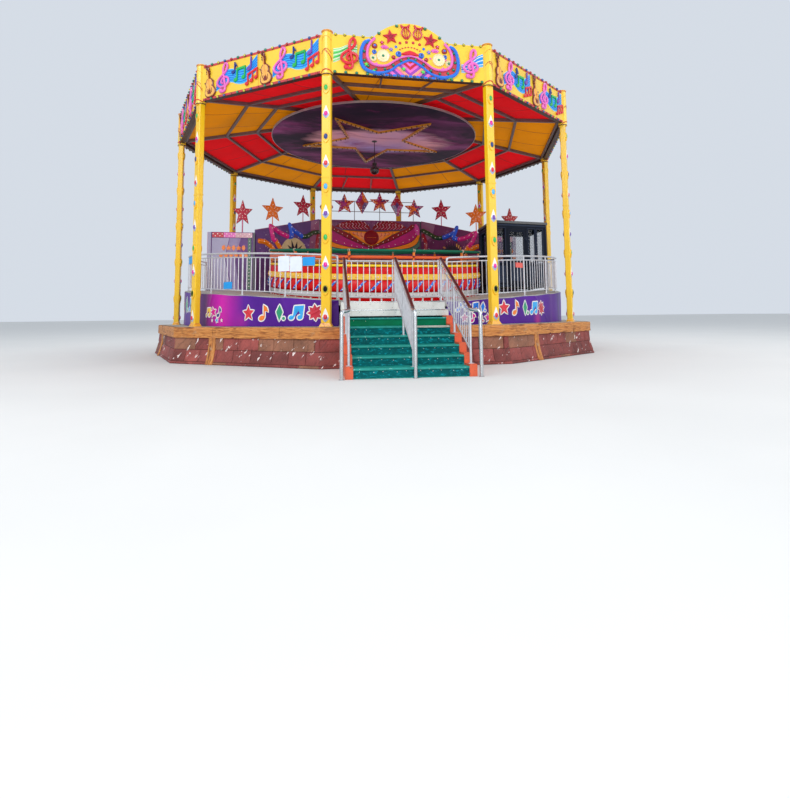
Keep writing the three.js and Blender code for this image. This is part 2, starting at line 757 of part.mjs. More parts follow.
// Roof: a shallow pyramid of fabric over rafters, purlins and eave beams, in two halves.
const APOTHEM_FACTOR = Math.cos(radians(SIDE_ANGLE / 2));
const roofUnder = (apothem) => EAVE_Z + ROOF_SLOPE * (COLUMN_CIRCLE * APOTHEM_FACTOR - apothem);

function roofWhole() {
  const edge = COLUMN_CIRCLE * APOTHEM_FACTOR - FASCIA_THICK / 2 - GAP;
  const corner = edge / APOTHEM_FACTOR;
  const under = roofUnder(edge) + BEAM_DEPTH;
  const peak = roofUnder(0) + BEAM_DEPTH;
  const cover = turned(
    [[0, peak], [corner, under], [corner, under + ROOF_THICK], [0, peak + ROOF_THICK]],
    SIDES,
    false,
  ).rotate([0, 0, FIRST_COLUMN - 90]);
  const parts = [cover];
  const middle = BEAM_DEPTH / 2 + 4;
  const beamAt = (apothem, angle) =>
    polar(apothem / APOTHEM_FACTOR, angle, roofUnder(apothem) + middle);
  for (let k = 0; k < SIDES; k++) {
    const angle = columnAngle(k);
    parts.push(bar(beamAt(edge - 10, angle), beamAt(0, angle), BEAM_WIDTH));
    for (const apothem of [edge - 60, ...PURLIN_PLACES]) {
      parts.push(bar(beamAt(apothem, angle), beamAt(apothem, angle + SIDE_ANGLE), BEAM_WIDTH * 0.8));
    }
  }
  let roof = join(parts);
  for (let k = 0; k < SIDES; k++) roof = roof.subtract(sleeve(k, GAP));
  return roof;
}

function roofHalf(whole, side) {
  const reach = 8000;
  const low = side < 0 ? [-reach, -reach, 0] : [-reach, GAP / 2, 0];
  const high = side < 0 ? [reach, -GAP / 2, 2 * reach] : [reach, reach, 2 * reach];
  return whole.intersect(solid(box(low, high)));
}

const roof = roofWhole();

// Ceiling disc on short hangers, with a star outline of lamp tube under it.
function ceilingDisc() {
  const top = DISC_Z + DISC_THICK;
  const parts = [
    turned([[0, DISC_Z], [DISC_RADIUS, DISC_Z], [DISC_RADIUS, top], [0, top]], 48, false),
  ];
  const hangerRadius = 3000;
  const hangerTop = roofUnder(hangerRadius * APOTHEM_FACTOR) + BEAM_DEPTH / 2;
  for (let k = 0; k < SIDES; k++) {
    parts.push(post(hangerRadius, columnAngle(k), 50, 50, top - 10, hangerTop));
  }
  return join(parts).subtract(roof.translate([0, 0, -GAP]));
}

function starOutline(outer, inner, first = 90) {
  return Array.from({ length: 10 }, (_, i) => {
    const corner = polar(i % 2 ? inner : outer, first + i * 36);
    return [corner.x, corner.y];
  });
}

function discStar() {
  const first = -54;
  const high = DISC_Z - GAP;
  const low = high - STAR_TUBE;
  const outside = solid(prism(starOutline(STAR_OUTER, STAR_INNER, first), low, high));
  const ratio = 0.93;
  const inside = starOutline(STAR_OUTER * ratio - 60, STAR_INNER * ratio, first);
  return outside.subtract(solid(prism(inside, low - 1, high + 1)));
}

function pendantLamp() {
  const ball = new THREE.SphereGeometry(160, 16, 12);
  ball.translate(0, 0, PLINTH_TOP + 5124);
  return join([
    bar(new THREE.Vector3(0, 0, PLINTH_TOP + 5200), new THREE.Vector3(0, 0, DISC_Z - GAP), 30, 6),
    solid(box([-70, -70, PLINTH_TOP + 5260], [70, 70, PLINTH_TOP + 5380])),
    solid(ball),
  ]);
}

// Scenery: flat painted panels with stars on poles.
function panelBetween(from, to, lowZ, fromTop, toTop, thick = SCENERY_THICK) {
  const along = new THREE.Vector2(to[0] - from[0], to[1] - from[1]);
  const length = along.length();
  const shape = new THREE.Shape();
  shape.moveTo(0, lowZ);
  shape.lineTo(length, lowZ);
  shape.lineTo(length, toTop);
  shape.lineTo(0, fromTop);
  const geometry = new THREE.ExtrudeGeometry(shape, { depth: thick, bevelEnabled: false });
  geometry.rotateX(Math.PI / 2);
  geometry.translate(0, thick / 2, 0);
  geometry.rotateZ(along.angle());
  geometry.translate(from[0], from[1], 0);
  return solid(geometry);
}

function starOnPole(x, y, turn, poleLow, centreZ, [radius, tall]) {
  const geometry = prism(starOutline(radius, radius * 0.42), -20, 20);
  geometry.rotateX(Math.PI / 2);
  geometry.scale(1, 1, tall);
  geometry.rotateZ(turn);
  geometry.translate(x, y, centreZ);
  const foot = new THREE.Vector3(x, y, poleLow);
  return solid(geometry).add(bar(foot, new THREE.Vector3(x, y, centreZ - 100), POLE_SIZE));
}

const DECK_REST = DECK_REAR_Z + GAP;

function wing(from, to, fromTop, toTop, stars) {
  const parts = [panelBetween(from, to, DECK_REST, fromTop, toTop)];
  const turn = Math.atan2(to[1] - from[1], to[0] - from[0]);
  for (const { place, centre } of stars) {
    const x = from[0] + (to[0] - from[0]) * place;
    const y = from[1] + (to[1] - from[1]) * place;
    const top = fromTop + (toTop - fromTop) * place;
    parts.push(starOnPole(x, y, turn, top - 200, centre, WING_STAR));
  }
  return join(parts);
}

function cabinet(left, right, starX, starZ) {
  const body = solid(
    box([left, CABINET_Y - CABINET_DEPTH / 2, DECK_REST], [right, CABINET_Y + CABINET_DEPTH / 2, CABINET_TOP]),
  );
  return body.add(starOnPole(starX, CABINET_Y, 0, CABINET_TOP - 100, starZ, CABINET_STAR));
}

// Sign rack: a row of stars and diamonds on a light frame that stands on the middle panel.
function signRack() {
  const y = SCENERY_Y;
  const low = SCENERY_TOP + GAP;
  const left = -1400;
  const right = 2270;
  const count = 6;
  const at = (x, z) => new THREE.Vector3(x, y, z);
  const barLow = low + 360;
  const barHigh = low + 800;
  const parts = [
    bar(at(left, barLow), at(right, barLow), 30),
    bar(at(left, barHigh), at(right, barHigh), 30),
  ];
  for (const x of [-1300, -250, 800, 1700, 2230]) {
    parts.push(bar(at(x, low), at(x, barHigh), 30));
  }
  for (let i = 0; i < count; i++) {
    const place = i / (count - 1);
    const x = left + (right - left) * place;
    const lift = 240 * Math.sin(Math.PI * place);
    const diamond = [[265, 0], [0, 470], [-265, 0], [0, -470]];
    const outline = i % 2 ? starOutline(425, 185) : diamond;
    const geometry = prism(outline, -15, 15);
    geometry.rotateX(Math.PI / 2);
    geometry.translate(x, y, low + 520 + lift);
    parts.push(solid(geometry));
  }
  return join(parts);
}

// Booth: a four-cornered cabin whose left wall keeps clear of the bowl. The front wall has its
// own frame, x along the wall and y inwards.
const [boothCorner, boothRight, , boothRear] = BOOTH_PLAN;
const boothFrontTurn = Math.atan2(boothRight[1] - boothCorner[1], boothRight[0] - boothCorner[0]);
const boothPlace = new THREE.Matrix4()
  .makeTranslation(boothCorner[0], boothCorner[1], 0)
  .multiply(new THREE.Matrix4().makeRotationZ(boothFrontTurn));
const boothBox = (low, high) => solid(box(low, high)).transform(boothPlace.elements);
const boothFrontLength = Math.hypot(boothRight[0] - boothCorner[0], boothRight[1] - boothCorner[1]);
const boothSideTurn = Math.atan2(boothRear[1] - boothCorner[1], boothRear[0] - boothCorner[0]);
const boothSideLength = Math.hypot(boothRear[0] - boothCorner[0], boothRear[1] - boothCorner[1]);

// The outline with every side moved inwards by a distance.
function inset(outline, distance) {
  const lines = outline.map(([x, y], i) => {
    const [nx, ny] = outline[(i + 1) % outline.length];
    const along = new THREE.Vector2(nx - x, ny - y).normalize();
    return { x: x - along.y * distance, y: y + along.x * distance, along };
  });
  return lines.map((line, i) => {
    const before = lines[(i + lines.length - 1) % lines.length];
    const cross = before.along.cross(line.along);
    const gap = new THREE.Vector2(line.x - before.x, line.y - before.y);
    const reach = gap.cross(line.along) / cross;
    return [before.x + before.along.x * reach, before.y + before.along.y * reach];
  });
}

const boothPrism = (distance, low, high) => solid(prism(inset(BOOTH_PLAN, distance), low, high));
const doorLow = BOOTH_FLOOR + 60;
const doorHigh = doorLow + BOOTH_DOOR_HEIGHT;
const doorwayEnd = BOOTH_DOOR_X + BOOTH_DOOR_WIDTH;
const DOOR_PLAY = 8;
const doorPivot = [doorwayEnd - DOOR_PLAY, -10];
const doorHinges = [doorLow + 300, doorLow + 1500];

function boothDoorway(grow, deep) {
  return boothBox(
    [BOOTH_DOOR_X - grow, -1, doorLow - grow],
    [doorwayEnd + grow, deep, doorHigh + grow],
  );
}

function boothWalls() {
  const inner = boothPrism(BOOTH_WALL, doorLow, BOOTH_TOP + 1);
  const end = boothFrontLength - 110;
  const windows = [
    boothBox([90, -1, BOOTH_SILL], [BOOTH_DOOR_X - 70, BOOTH_WALL + 9, BOOTH_HEAD]),
    boothBox([doorwayEnd + 70, -1, BOOTH_SILL], [end, BOOTH_WALL + 9, BOOTH_HEAD]),
    boothSideWindow(),
  ];
  let walls = boothPrism(0, BOOTH_FLOOR, BOOTH_TOP).subtract(inner).add(boothFeet());
  for (const cut of windows) walls = walls.subtract(cut);
  const [px, py] = doorPivot;
  for (const z of doorHinges) {
    const eye = hingeEye(px, py, z, (low, high) => [[px, py - 6, low], [px + 40, py + 6, high]]);
    const strap = solid(box([px + 20, py - 6, z - 40], [px + 40, 1, z]));
    walls = walls.add(eye.add(strap).transform(boothPlace.elements));
  }
  return walls.subtract(boothDoorway(0, BOOTH_WALL + 9)).subtract(deckFit);
}

// The side window's box lies along the left wall.
function boothSideWindow() {
  const geometry = box(
    [150, -BOOTH_WALL - 30, BOOTH_SILL],
    [boothSideLength - 150, 30, BOOTH_HEAD],
  );
  geometry.rotateZ(boothSideTurn);
  geometry.translate(boothCorner[0], boothCorner[1], 0);
  return solid(geometry);
}

// The booth is level, so it stands on feet of unequal height.
function boothFeet() {
  const size = 90;
  const feet = inset(BOOTH_PLAN, size / 2).map(([x, y]) =>
    solid(box([x - 40, y - 40, DECK_FRONT_Z], [x + 40, y + 40, BOOTH_FLOOR + 20])),
  );
  return join(feet);
}

// Sheets of glass that line the left and front walls inside, in one piece over the door.
function boothGlass() {
  const low = BOOTH_SILL - 30;
  const high = BOOTH_HEAD + 30;
  const near = BOOTH_WALL + GAP;
  const lining = boothPrism(near, low, high).subtract(boothPrism(near + 12, low - 1, high + 1));
  const rear = solid(box([3000, boothRear[1] - 100, low - 1], [6000, 300, high + 1]));
  const right = solid(box([boothRight[0] - 85, -2000, low - 1], [6000, 300, high + 1]));
  return lining.subtract(rear).subtract(right).subtract(boothDoorway(20, 200));
}

function boothRoof() {
  const low = BOOTH_TOP + GAP;
  return boothPrism(-50, low, low + 70);
}

// The door's front edge is cut away round each eye, so that the leaf swings clear of it.
function boothDoor() {
  let leaf = solid(
    box(
      [BOOTH_DOOR_X + DOOR_PLAY, 0, doorLow + DOOR_PLAY],
      [doorwayEnd - DOOR_PLAY, 40, doorHigh - DOOR_PLAY],
    ),
  );
  const [px, py] = doorPivot;
  for (const z of doorHinges) {
    leaf = leaf.subtract(rod(px, py, 20, z - 48, z + GAP));
    leaf = leaf.add(hingeKnuckle(px, py, z, (low, high) => [[px - 40, py - 6, low], [px, 1, high]]));
  }
  return leaf.transform(boothPlace.elements);
}

// Assembly.
addMesh("plinth", plinthSolid(0), COLOURS.stone, 0.9);
addMesh("plinth_timber_band", bandSolid(), COLOURS.timber, 0.8);
addMesh("stair_flight", stairPiece(-innerHalf + GAP, innerHalf - GAP, 0), COLOURS.green, 0.7);
addMesh("stair_cheek_left", stairPiece(-STAIR_WIDTH / 2, -innerHalf, CHEEK_LIFT), COLOURS.orangeRed, 0.7);
addMesh(
  "stair_cheek_right",
  stairPiece(innerHalf, STAIR_WIDTH / 2, CHEEK_LIFT),
  COLOURS.orangeRed,
  0.7,
);
addMesh("deck_steps", deckSteps(), COLOURS.deck, 0.5, 0.7);
const railX = STAIR_WIDTH / 2 - CHEEK_WIDTH / 2;
addMesh("handrail_left", handrail(-railX, -1), COLOURS.handrail, 0.4, 0.5);
addMesh("handrail_centre", handrail(STAIR_MIDDLE, 0), COLOURS.handrail, 0.4, 0.5);
addMesh("handrail_right", handrail(railX, 1), COLOURS.handrail, 0.4, 0.5);

const deckSections = {
  deck_front: [FRONT - DECK_FRONT_HALF, FRONT + DECK_FRONT_HALF],
  deck_left: [FRONT - DECK_SIDE_END, FRONT - DECK_FRONT_HALF],
  deck_right: [FRONT + DECK_FRONT_HALF, FRONT + DECK_SIDE_END],
  deck_rear: [FRONT + DECK_SIDE_END, FRONT + 360 - DECK_SIDE_END],
};
for (const [name, ends] of Object.entries(deckSections)) {
  addMesh(name, deckSection(...ends), COLOURS.deck, 0.6, 0.5);
}

addMesh("pit_wall", pitWall(), COLOURS.black, 0.7);
addMesh("deck_legs", deckLegs(), COLOURS.steel, 0.5, 0.6);

function skirt(from, to) {
  const low = () => PLINTH_TOP + GAP;
  return arcBlock(DECK_OUTER + GAP, DECK_OUTER + SKIRT_THICK, from, to, low, deckHeight);
}
addMesh("skirt_left", skirt(FRONT - 179.98, FRONT - 16.4), COLOURS.banner, 0.5);
addMesh("skirt_right", skirt(FRONT + 7.9, FRONT + 179.98), COLOURS.banner, 0.5);

const railings = {
  railing_left: [FRONT - 179.8, FRONT - 16.8],
  railing_right: [FRONT + 8.3, FRONT + 179.8],
};
for (const [name, ends] of Object.entries(railings)) {
  addMesh(name, railing(...ends), COLOURS.steel, 0.4, 0.8);
}
addMesh("gate_left", gateLeaf(-GATE_FAR, GATE_LEFT_NEAR), COLOURS.steel, 0.4, 0.8);
addMesh("gate_right", gateLeaf(GATE_RIGHT_NEAR, GATE_FAR), COLOURS.steel, 0.4, 0.8);

addMesh("pedestal", pedestal(), COLOURS.black, 0.6, 0.5);
addMesh("tilt_frame", tiltFrame(), COLOURS.black, 0.6, 0.5);
addMesh("bowl_floor", bowlFloor(), COLOURS.red, 0.4);
addMesh("bowl_drum", bowlDrum(), COLOURS.red, 0.4);
addMesh("bowl_lamp_band", bowlRing(WALL_INNER, 3450, BAND_LOW + GAP, BAND_HIGH), COLOURS.amber, 0.4);
addMesh("bowl_wall", bowlRing(WALL_INNER, 3430, BAND_HIGH + GAP, WALL_HIGH), COLOURS.red, 0.4);
addMesh("bowl_bench", bowlBench(), COLOURS.red, 0.5);
addMesh("bowl_back_rolls", bowlRolls(), COLOURS.orangeRed, 0.4);
addMesh("bowl_grab_rail", bowlGrabRail(), COLOURS.rail, 0.4);

for (let k = 0; k < SIDES; k++) {
  const turn = radians(columnAngle(k));
  const centre = polar(COLUMN_CIRCLE, columnAngle(k));
  const node = addMesh("column_" + String(k + 1).padStart(2, "0"), column(), COLOURS.yellow, 0.4);
  node.position.set(centre.x, centre.y, 0);
  node.rotation.z = turn;
}
const frontPanel = fasciaPanel(0, true).subtract(sleeve(0, GAP)).subtract(sleeve(1, GAP));
addMesh("fascia_front", frontPanel, COLOURS.fascia, 0.4);
addMesh("fascia_right", fasciaGroup([1, 2, 3], [1, 2, 3]), COLOURS.fascia, 0.4);
addMesh("fascia_rear", fasciaGroup([4, 5, 6], [4, 5, 6, 7]), COLOURS.fascia, 0.4);
addMesh("fascia_left", fasciaGroup([7, 8, 9], [8, 9, 0]), COLOURS.fascia, 0.4);
addMesh("roof_front", roofHalf(roof, -1), COLOURS.roof, 0.7);
addMesh("roof_rear", roofHalf(roof, 1), COLOURS.roof, 0.7);
addMesh("ceiling_disc", ceilingDisc(), COLOURS.sky, 0.6);
addMesh("ceiling_star", discStar(), COLOURS.amber, 0.4);
addMesh("pendant_lamp", pendantLamp(), COLOURS.black, 0.4);

const wingEndLeft = [SCENERY_LEFT - 60, SCENERY_Y - 60];
const wingEndRight = [SCENERY_RIGHT + 60, SCENERY_Y - 60];
addMesh(
  "scenery_left",
  wing(WING_LEFT, wingEndLeft, WING_TOP, SCENERY_TOP, [
    { place: 0.24, centre: PLINTH_TOP + 4060 },
    { place: 0.72, centre: PLINTH_TOP + 4480 },
  ]),
  COLOURS.scenery,
  0.5,
);
addMesh(
  "scenery_centre",
  panelBetween([SCENERY_LEFT, SCENERY_Y], [SCENERY_RIGHT, SCENERY_Y], DECK_REST, SCENERY_TOP, SCENERY_TOP),
  COLOURS.scenery,
  0.5,
);
addMesh(
  "scenery_right",
  wing(wingEndRight, WING_RIGHT, SCENERY_TOP, WING_TOP, [
    { place: 0.36, centre: PLINTH_TOP + 4420 },
    { place: 0.93, centre: PLINTH_TOP + 3945 },
  ]),
  COLOURS.scenery,
  0.5,
);
addMesh("sign_rack", signRack(), COLOURS.orangeRed, 0.5);
addMesh("cabinet_left", cabinet(-5450, -4060, -4440, PLINTH_TOP + 3820), COLOURS.scenery, 0.5);
addMesh("cabinet_right", cabinet(4320, 5450, 5420, PLINTH_TOP + 3790), COLOURS.scenery, 0.5);

addMesh("booth_walls", boothWalls(), COLOURS.black, 0.4);
addMesh("booth_glass", boothGlass(), COLOURS.black, 0.1);
addMesh("booth_roof", boothRoof(), COLOURS.black, 0.5);
addMesh("booth_door", boothDoor(), COLOURS.black, 0.4);

export default group;
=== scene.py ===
"""Looks of the fairground tagada ride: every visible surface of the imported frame, in metres,
+Z up, origin on the ground under the canopy's axis, the stair at -Y."""
import math
import random

import bpy
from mathutils import Matrix, Vector, noise


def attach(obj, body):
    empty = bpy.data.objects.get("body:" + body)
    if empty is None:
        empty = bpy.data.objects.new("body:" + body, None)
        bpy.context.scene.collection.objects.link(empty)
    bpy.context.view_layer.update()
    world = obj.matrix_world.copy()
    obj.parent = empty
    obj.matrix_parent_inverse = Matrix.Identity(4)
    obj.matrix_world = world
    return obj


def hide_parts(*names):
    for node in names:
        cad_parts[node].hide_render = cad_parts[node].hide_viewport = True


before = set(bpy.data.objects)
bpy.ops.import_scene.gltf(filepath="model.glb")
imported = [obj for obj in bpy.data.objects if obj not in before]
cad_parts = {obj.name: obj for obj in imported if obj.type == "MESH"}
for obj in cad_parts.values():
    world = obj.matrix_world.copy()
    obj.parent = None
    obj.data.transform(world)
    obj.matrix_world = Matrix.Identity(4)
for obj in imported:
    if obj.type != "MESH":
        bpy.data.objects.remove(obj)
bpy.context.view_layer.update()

RIDE, BOWL = "ride_structure", "turning_bowl"
rad, sin, cos, pi = math.radians, math.sin, math.cos, math.pi

# ---------------------------------------------------------------- camera
scene = bpy.context.scene
cam = bpy.data.objects.new("camera", bpy.data.cameras.new("camera"))
scene.collection.objects.link(cam)
yaw, pitch, roll = -.18584, .0955, -.01002
SENSOR, FOCAL, CENTRE, FRAME = 36, 540.807, (399.08, 262.16), (790, 798)  # mm, then pixels of the photo's view
right = Vector((cos(yaw), sin(yaw), 0))
ahead = Vector((-sin(yaw) * cos(pitch), cos(yaw) * cos(pitch), sin(pitch)))
up = right.cross(ahead)
right, up = right * cos(roll) + up * sin(roll), up * cos(roll) - right * sin(roll)
turn = Matrix((right, up, -ahead)).transposed()
cam.matrix_world = Matrix.Translation((-2.532, -17.793, 1.112)) @ turn.to_4x4()
cam.data.sensor_width = SENSOR
cam.data.lens = FOCAL * SENSOR / FRAME[1]
cam.data.shift_x = -(CENTRE[0] - FRAME[0] / 2) / FRAME[1]
cam.data.shift_y = (CENTRE[1] - FRAME[1] / 2) / FRAME[1]
cam.data.clip_end = 500
scene.camera = cam
scene.view_settings.view_transform = "Standard"


def srgb(r, g, b):
    return [(c / 12.92 if c <= .04045 else ((c + .055) / 1.055) ** 2.4) for c in (r, g, b)] + [1]


# ---------------------------------------------------------------- materials
class Finish:
    """A material under way, made of procedural textures in metres of the object or of its unwrapped surface."""

    def __init__(self, name):
        self.material = bpy.data.materials.new(name)
        self.material.use_nodes = True
        tree = self.material.node_tree
        self.nodes, self.link = tree.nodes, tree.links.new
        self.bsdf = self.nodes["Principled BSDF"]

    def put(self, socket, value):
        """Feeds a socket from another node's output, or sets its value."""
        if isinstance(value, bpy.types.NodeSocket):
            self.link(value, socket)
        else:
            socket.default_value = value

    def texture(self, kind, scale, stretch=None, uv=False, detail=4, lean=(0, 0, 0), middle=(0, 0, 0), **inputs):
        source = self.nodes.new("ShaderNodeTexCoord").outputs["UV" if uv else "Object"]
        node = self.nodes.new("ShaderNodeTex" + kind)
        if stretch:
            mapping = self.nodes.new("ShaderNodeMapping")
            mapping.vector_type = "TEXTURE"
            mapping.inputs["Scale"].default_value = [1 / v for v in stretch]
            mapping.inputs["Rotation"].default_value = lean
            mapping.inputs["Location"].default_value = middle
            self.link(source, mapping.inputs["Vector"])
            source = mapping.outputs["Vector"]
        self.link(source, node.inputs["Vector"])
        for key, value in {"Scale": scale, "Detail": detail, **inputs}.items():
            if key in node.inputs:
                node.inputs[key].default_value = value
        return node.outputs[0]

    def spot(self, size, middle):
        """1 at the middle, falling to 0 at the rim of an ellipsoid."""
        value = self.texture("Gradient", 1, size, middle=middle)
        value.node.gradient_type = "SPHERICAL"
        return value

    def ramp(self, value, stops):
        """Each stop is a place and a colour, or a place and a level of grey."""
        node = self.nodes.new("ShaderNodeValToRGB")
        self.link(value, node.inputs[0])
        elements = node.color_ramp.elements
        for i, (place, colour) in enumerate(stops):
            stop = elements[i] if i < 2 else elements.new(place)
            stop.position = place
            stop.color = colour if hasattr(colour, "__len__") else [colour] * 3 + [1]
        return node.outputs[0]

    def mix(self, amount, a, b, blend="MIX"):
        node = self.nodes.new("ShaderNodeMix")
        node.data_type = "RGBA"
        node.blend_type = blend
        for socket, value in ((0, amount), (6, a), (7, b)):  # the factor and the two colours
            self.put(node.inputs[socket], value)
        return node.outputs[2]

    def done(self, tone, height=None, strength=0, distance=0, emit=0, **values):
        """Feeds the shader its tone, its bump and the rest, and gives the material."""
        values["Base_Color"] = tone
        if emit:
            values.update(Emission_Color=tone, Emission_Strength=emit)
        for key, value in values.items():
            self.put(self.bsdf.inputs[key.replace("_", " ")], value)
        if height:
            node = self.nodes.new("ShaderNodeBump")
            node.inputs["Strength"].default_value = strength
            node.inputs["Distance"].default_value = distance
            self.link(height, node.inputs["Height"])
            self.link(node.outputs[0], self.bsdf.inputs["Normal"])
        return self.material


def shade(hue, factor):
    return [c * factor for c in hue[:3]] + [1]


def surface(name, colour, rough=.5, metal=0, coat=0, sheen=0, vary=.14, grain=5, bump=.15, fine=60,
            wear=None, emit=0, weave=0, stretch=None, ior=1.5):
    """A painted, moulded, metal or woven finish: tone drift, fine bump, and worn or soiled spots."""
    f, hue = Finish(name), srgb(*colour)
    drift = f.texture("Noise", grain, stretch)
    tone = f.ramp(drift, [(.3, shade(hue, 1 - vary)), (.72, shade(hue, 1 + vary * .5))])
    if wear:
        worn, amount, size = wear
        spots = f.texture("Noise", size, stretch, detail=8, Roughness=.7)
        tone = f.mix(f.ramp(spots, [(.72 - amount, 0), (.76 - amount * .6, 1)]), tone, srgb(*worn))
    gloss = f.ramp(drift, [(.2, max(.03, rough * .8)), (.8, min(1, rough * 1.2))])
    height = f.texture("Noise", fine, stretch, detail=6)
    if weave:
        across, along = f.texture("Wave", weave), f.texture("Wave", weave)
        along.node.bands_direction = "Z"
        height = f.mix(.5, across, along, "MULTIPLY")
    return f.done(tone, height, bump, .004, emit, Roughness=gloss, Metallic=metal, Coat_Weight=coat,
                  Coat_Roughness=.08, Sheen_Weight=sheen, IOR=ior)


def paint(name, colour, rough=.3, **kw):
    kw.setdefault("coat", .4)
    kw.setdefault("bump", .05)
    return surface(name, colour, rough, **kw)


RUST = (.35, .2, .12)
yellow = paint("yellow_gloss", (.95, .76, .03), .36, coat=.15, vary=.06, grain=2, wear=((.92, .68, .04), .12, 7))
bezel = paint("bezel_yellow", (.96, .74, .08), .3, vary=.08, grain=9)
foot_paint = paint("foot_paint", (.94, .66, .08), .4, vary=.1, grain=6, wear=((.72, .3, .1), .17, 11))
fascia_yellow = paint("panel_yellow", (.97, .8, .22), .35, vary=.08, grain=1.5, wear=((.93, .7, .15), .1, 3))
rust_red = paint("rust_red", (.75, .22, .08), .4)
# Dark brown: the sleeves' bottom trim ring, and painted shade on the fascia panels' underside and inner face.
brown_trim_and_shade = surface("brown_trim_and_painted_shade", (.27, .15, .12), .5, vary=.2, grain=9, wear=((.42, .26, .2), .1, 20))
maroon_relief = paint("maroon_relief", (.46, .1, .08), .32, wear=((.6, .25, .2), .12, 16))
orange_edge = paint("orange_edge", (.86, .42, .1), .4, wear=(RUST, .12, 20))
red_line = paint("red_line", (.82, .2, .12), .35)
coral = paint("coral_strip", (.78, .22, .25), .4, wear=((.86, .45, .4), .12, 12))
white_gloss = paint("white_gloss", (.93, .92, .9), .3, vary=.05)
cream = paint("cream_relief", (.95, .9, .72), .4)
pink = paint("pink_relief", (.93, .42, .76), .3)
magenta = paint("magenta_gem", (.88, .06, .6), .25, coat=.3)
red = paint("red_relief", (.88, .13, .2), .3)
dark_red = paint("dark_red_relief", (.6, .1, .14), .35)
blue = paint("blue_relief", (.1, .45, .88), .3)
sky_blue = paint("ribbon_blue", (.16, .68, .95), .35)
navy = paint("navy_relief", (.12, .2, .55), .3)
green = paint("green_relief", (.1, .7, .3), .3)
teal = paint("green_bulb_glass", (.05, .52, .36), .12, coat=1, emit=.05)
purple = paint("purple_relief", (.45, .25, .68), .3)
tan = paint("tan_relief", (.95, .7, .33), .4, wear=((.82, .46, .2), .17, 9))
# Its emission is painted light on the scenery's fan; it is no lamp.
straw = paint("straw_relief", (.85, .76, .56), .4, emit=.05)
# Pale blue-grey for the drops' lower facets: painted shade.
drop_painted_shade = paint("drop_painted_shade", (.62, .67, .8), .25)
BULBS = [paint("bulb_" + n, c, .12, coat=1, emit=.04) for n, c in
         (("red", (.72, .08, .14)), ("green", (.04, .5, .36)),
          ("yellow", (.8, .76, .12)), ("blue", (.06, .3, .6)))]
amber_bulb = paint("bulb_amber", (.98, .72, .2), .15, coat=1, emit=.3)
white_bulb = paint("bulb_white", (.96, .93, .88), .15, coat=1, emit=.15)
orange = paint("orange_gloss", (.96, .5, .1), .3, wear=((.85, .38, .08), .1, 9))
steel = surface("galvanised_tube", (.8, .8, .82), .36, .45, vary=.16, grain=14, bump=.08, wear=((.55, .53, .5), .1, 30))
frame_steel = surface("canopy_steel", (.44, .36, .37), .5, .2, vary=.2, wear=((.55, .47, .46), .12, 14))
rim_metal = surface("disc_rim", (.7, .68, .7), .4, .4, vary=.1)
bright = surface("bright_tube", (.78, .79, .8), .2, .95, vary=.08, bump=.04)
maroon = paint("maroon_rail", (.3, .08, .1), .3, wear=((.42, .2, .2), .12, 12))
black = paint("black_paint", (.07, .07, .08), .35)
dark = surface("dark_underside", (.1, .1, .11), .7, .3)
bowl_red = paint("bowl_red", (.9, .02, .05), .4, coat=.15, vary=.1, ior=1.3)
# The yellow roll's emission is painted light: the roll is no lamp.
bowl_yellow = paint("bowl_yellow", (.98, .84, .04), .35, emit=.1)
rail_green = paint("rail_green", (0, .42, .31), .45, coat=0, ior=1.3, wear=((.2, .5, .4), .1, 14))
roll_orange = surface("roll_orange", (.93, .36, .1), .42, sheen=.15, bump=.25, fine=90)
seat = surface("seat_vinyl", (.72, .08, .08), .4, sheen=.2, bump=.3, fine=120, vary=.15)
plate = surface("fleck_plate", (.72, .72, .69), .55, .3, vary=.1, grain=90, bump=.5, fine=140,
                wear=((.45, .44, .42), .14, 70))
step_white = surface("step_plate", (.82, .82, .8), .4, .5, vary=.1, grain=8, bump=.4, fine=110,
                     wear=((.6, .58, .55), .12, 18))
stair_green = surface("stair_green", (.08, .58, .53), .7, vary=.3, grain=2.4, bump=.5, fine=50, ior=1.25,
                      wear=((.3, .7, .68), .16, 12), stretch=(1, 2.2, 2.2))
# The risers' green: a darker copy of the tread green, painted shade on the upright faces; its pale teal spots are wear.
stair_riser_shaded = surface("stair_green_riser_painted_shade", (0, .37, .38), .75, vary=.36, grain=3, bump=.7, fine=40, ior=1.2,
                     wear=((.06, .62, .66), .19, 13), stretch=(1, 1, 2.5))
stair_top = surface("stair_green_top_riser", (.03, .46, .31), .75, vary=.2, grain=3, bump=.5, fine=40, ior=1.2,
                    wear=((.05, .5, .36), .1, 13), stretch=(1, 1, 2.5))
stair_edge = surface("stair_worn_edge", (.2, .6, .56), .75, vary=.3, grain=7, ior=1.25, wear=((.75, .86, .82), .12, 18))
scraped = surface("scraped_cement", (.75, .73, .68), .85, vary=.25, grain=14, bump=.8, fine=50)
stair_red = surface("stair_side_red", (.86, .37, .22), .6, bump=.4, fine=45, wear=((.6, .3, .22), .16, 14))
concrete = surface("plinth_top", (.72, .68, .6), .8, bump=.6, fine=40, vary=.16, wear=((.5, .46, .4), .16, 7))
mortar = surface("mortar", (.33, .15, .12), .85, bump=.7, fine=60, vary=.25)
# The cover's emission, dimmer at the seams, is painted light: daylight through the cloth; the cover is no lamp.
canvas = [surface("canvas_" + n, c, .85, vary=.16, grain=.8, bump=.2, weave=160, ior=1.2,
                  emit=e) for n, c, e in (("orange", (.89, .54, .02), .3), ("red", (.87, .06, .1), .34))]
seams = [paint("canvas_seam_" + n, c, .8, coat=0, emit=.15)
         for n, c in (("orange", (.72, .4, .02)), ("red", (.66, .03, .06)))]
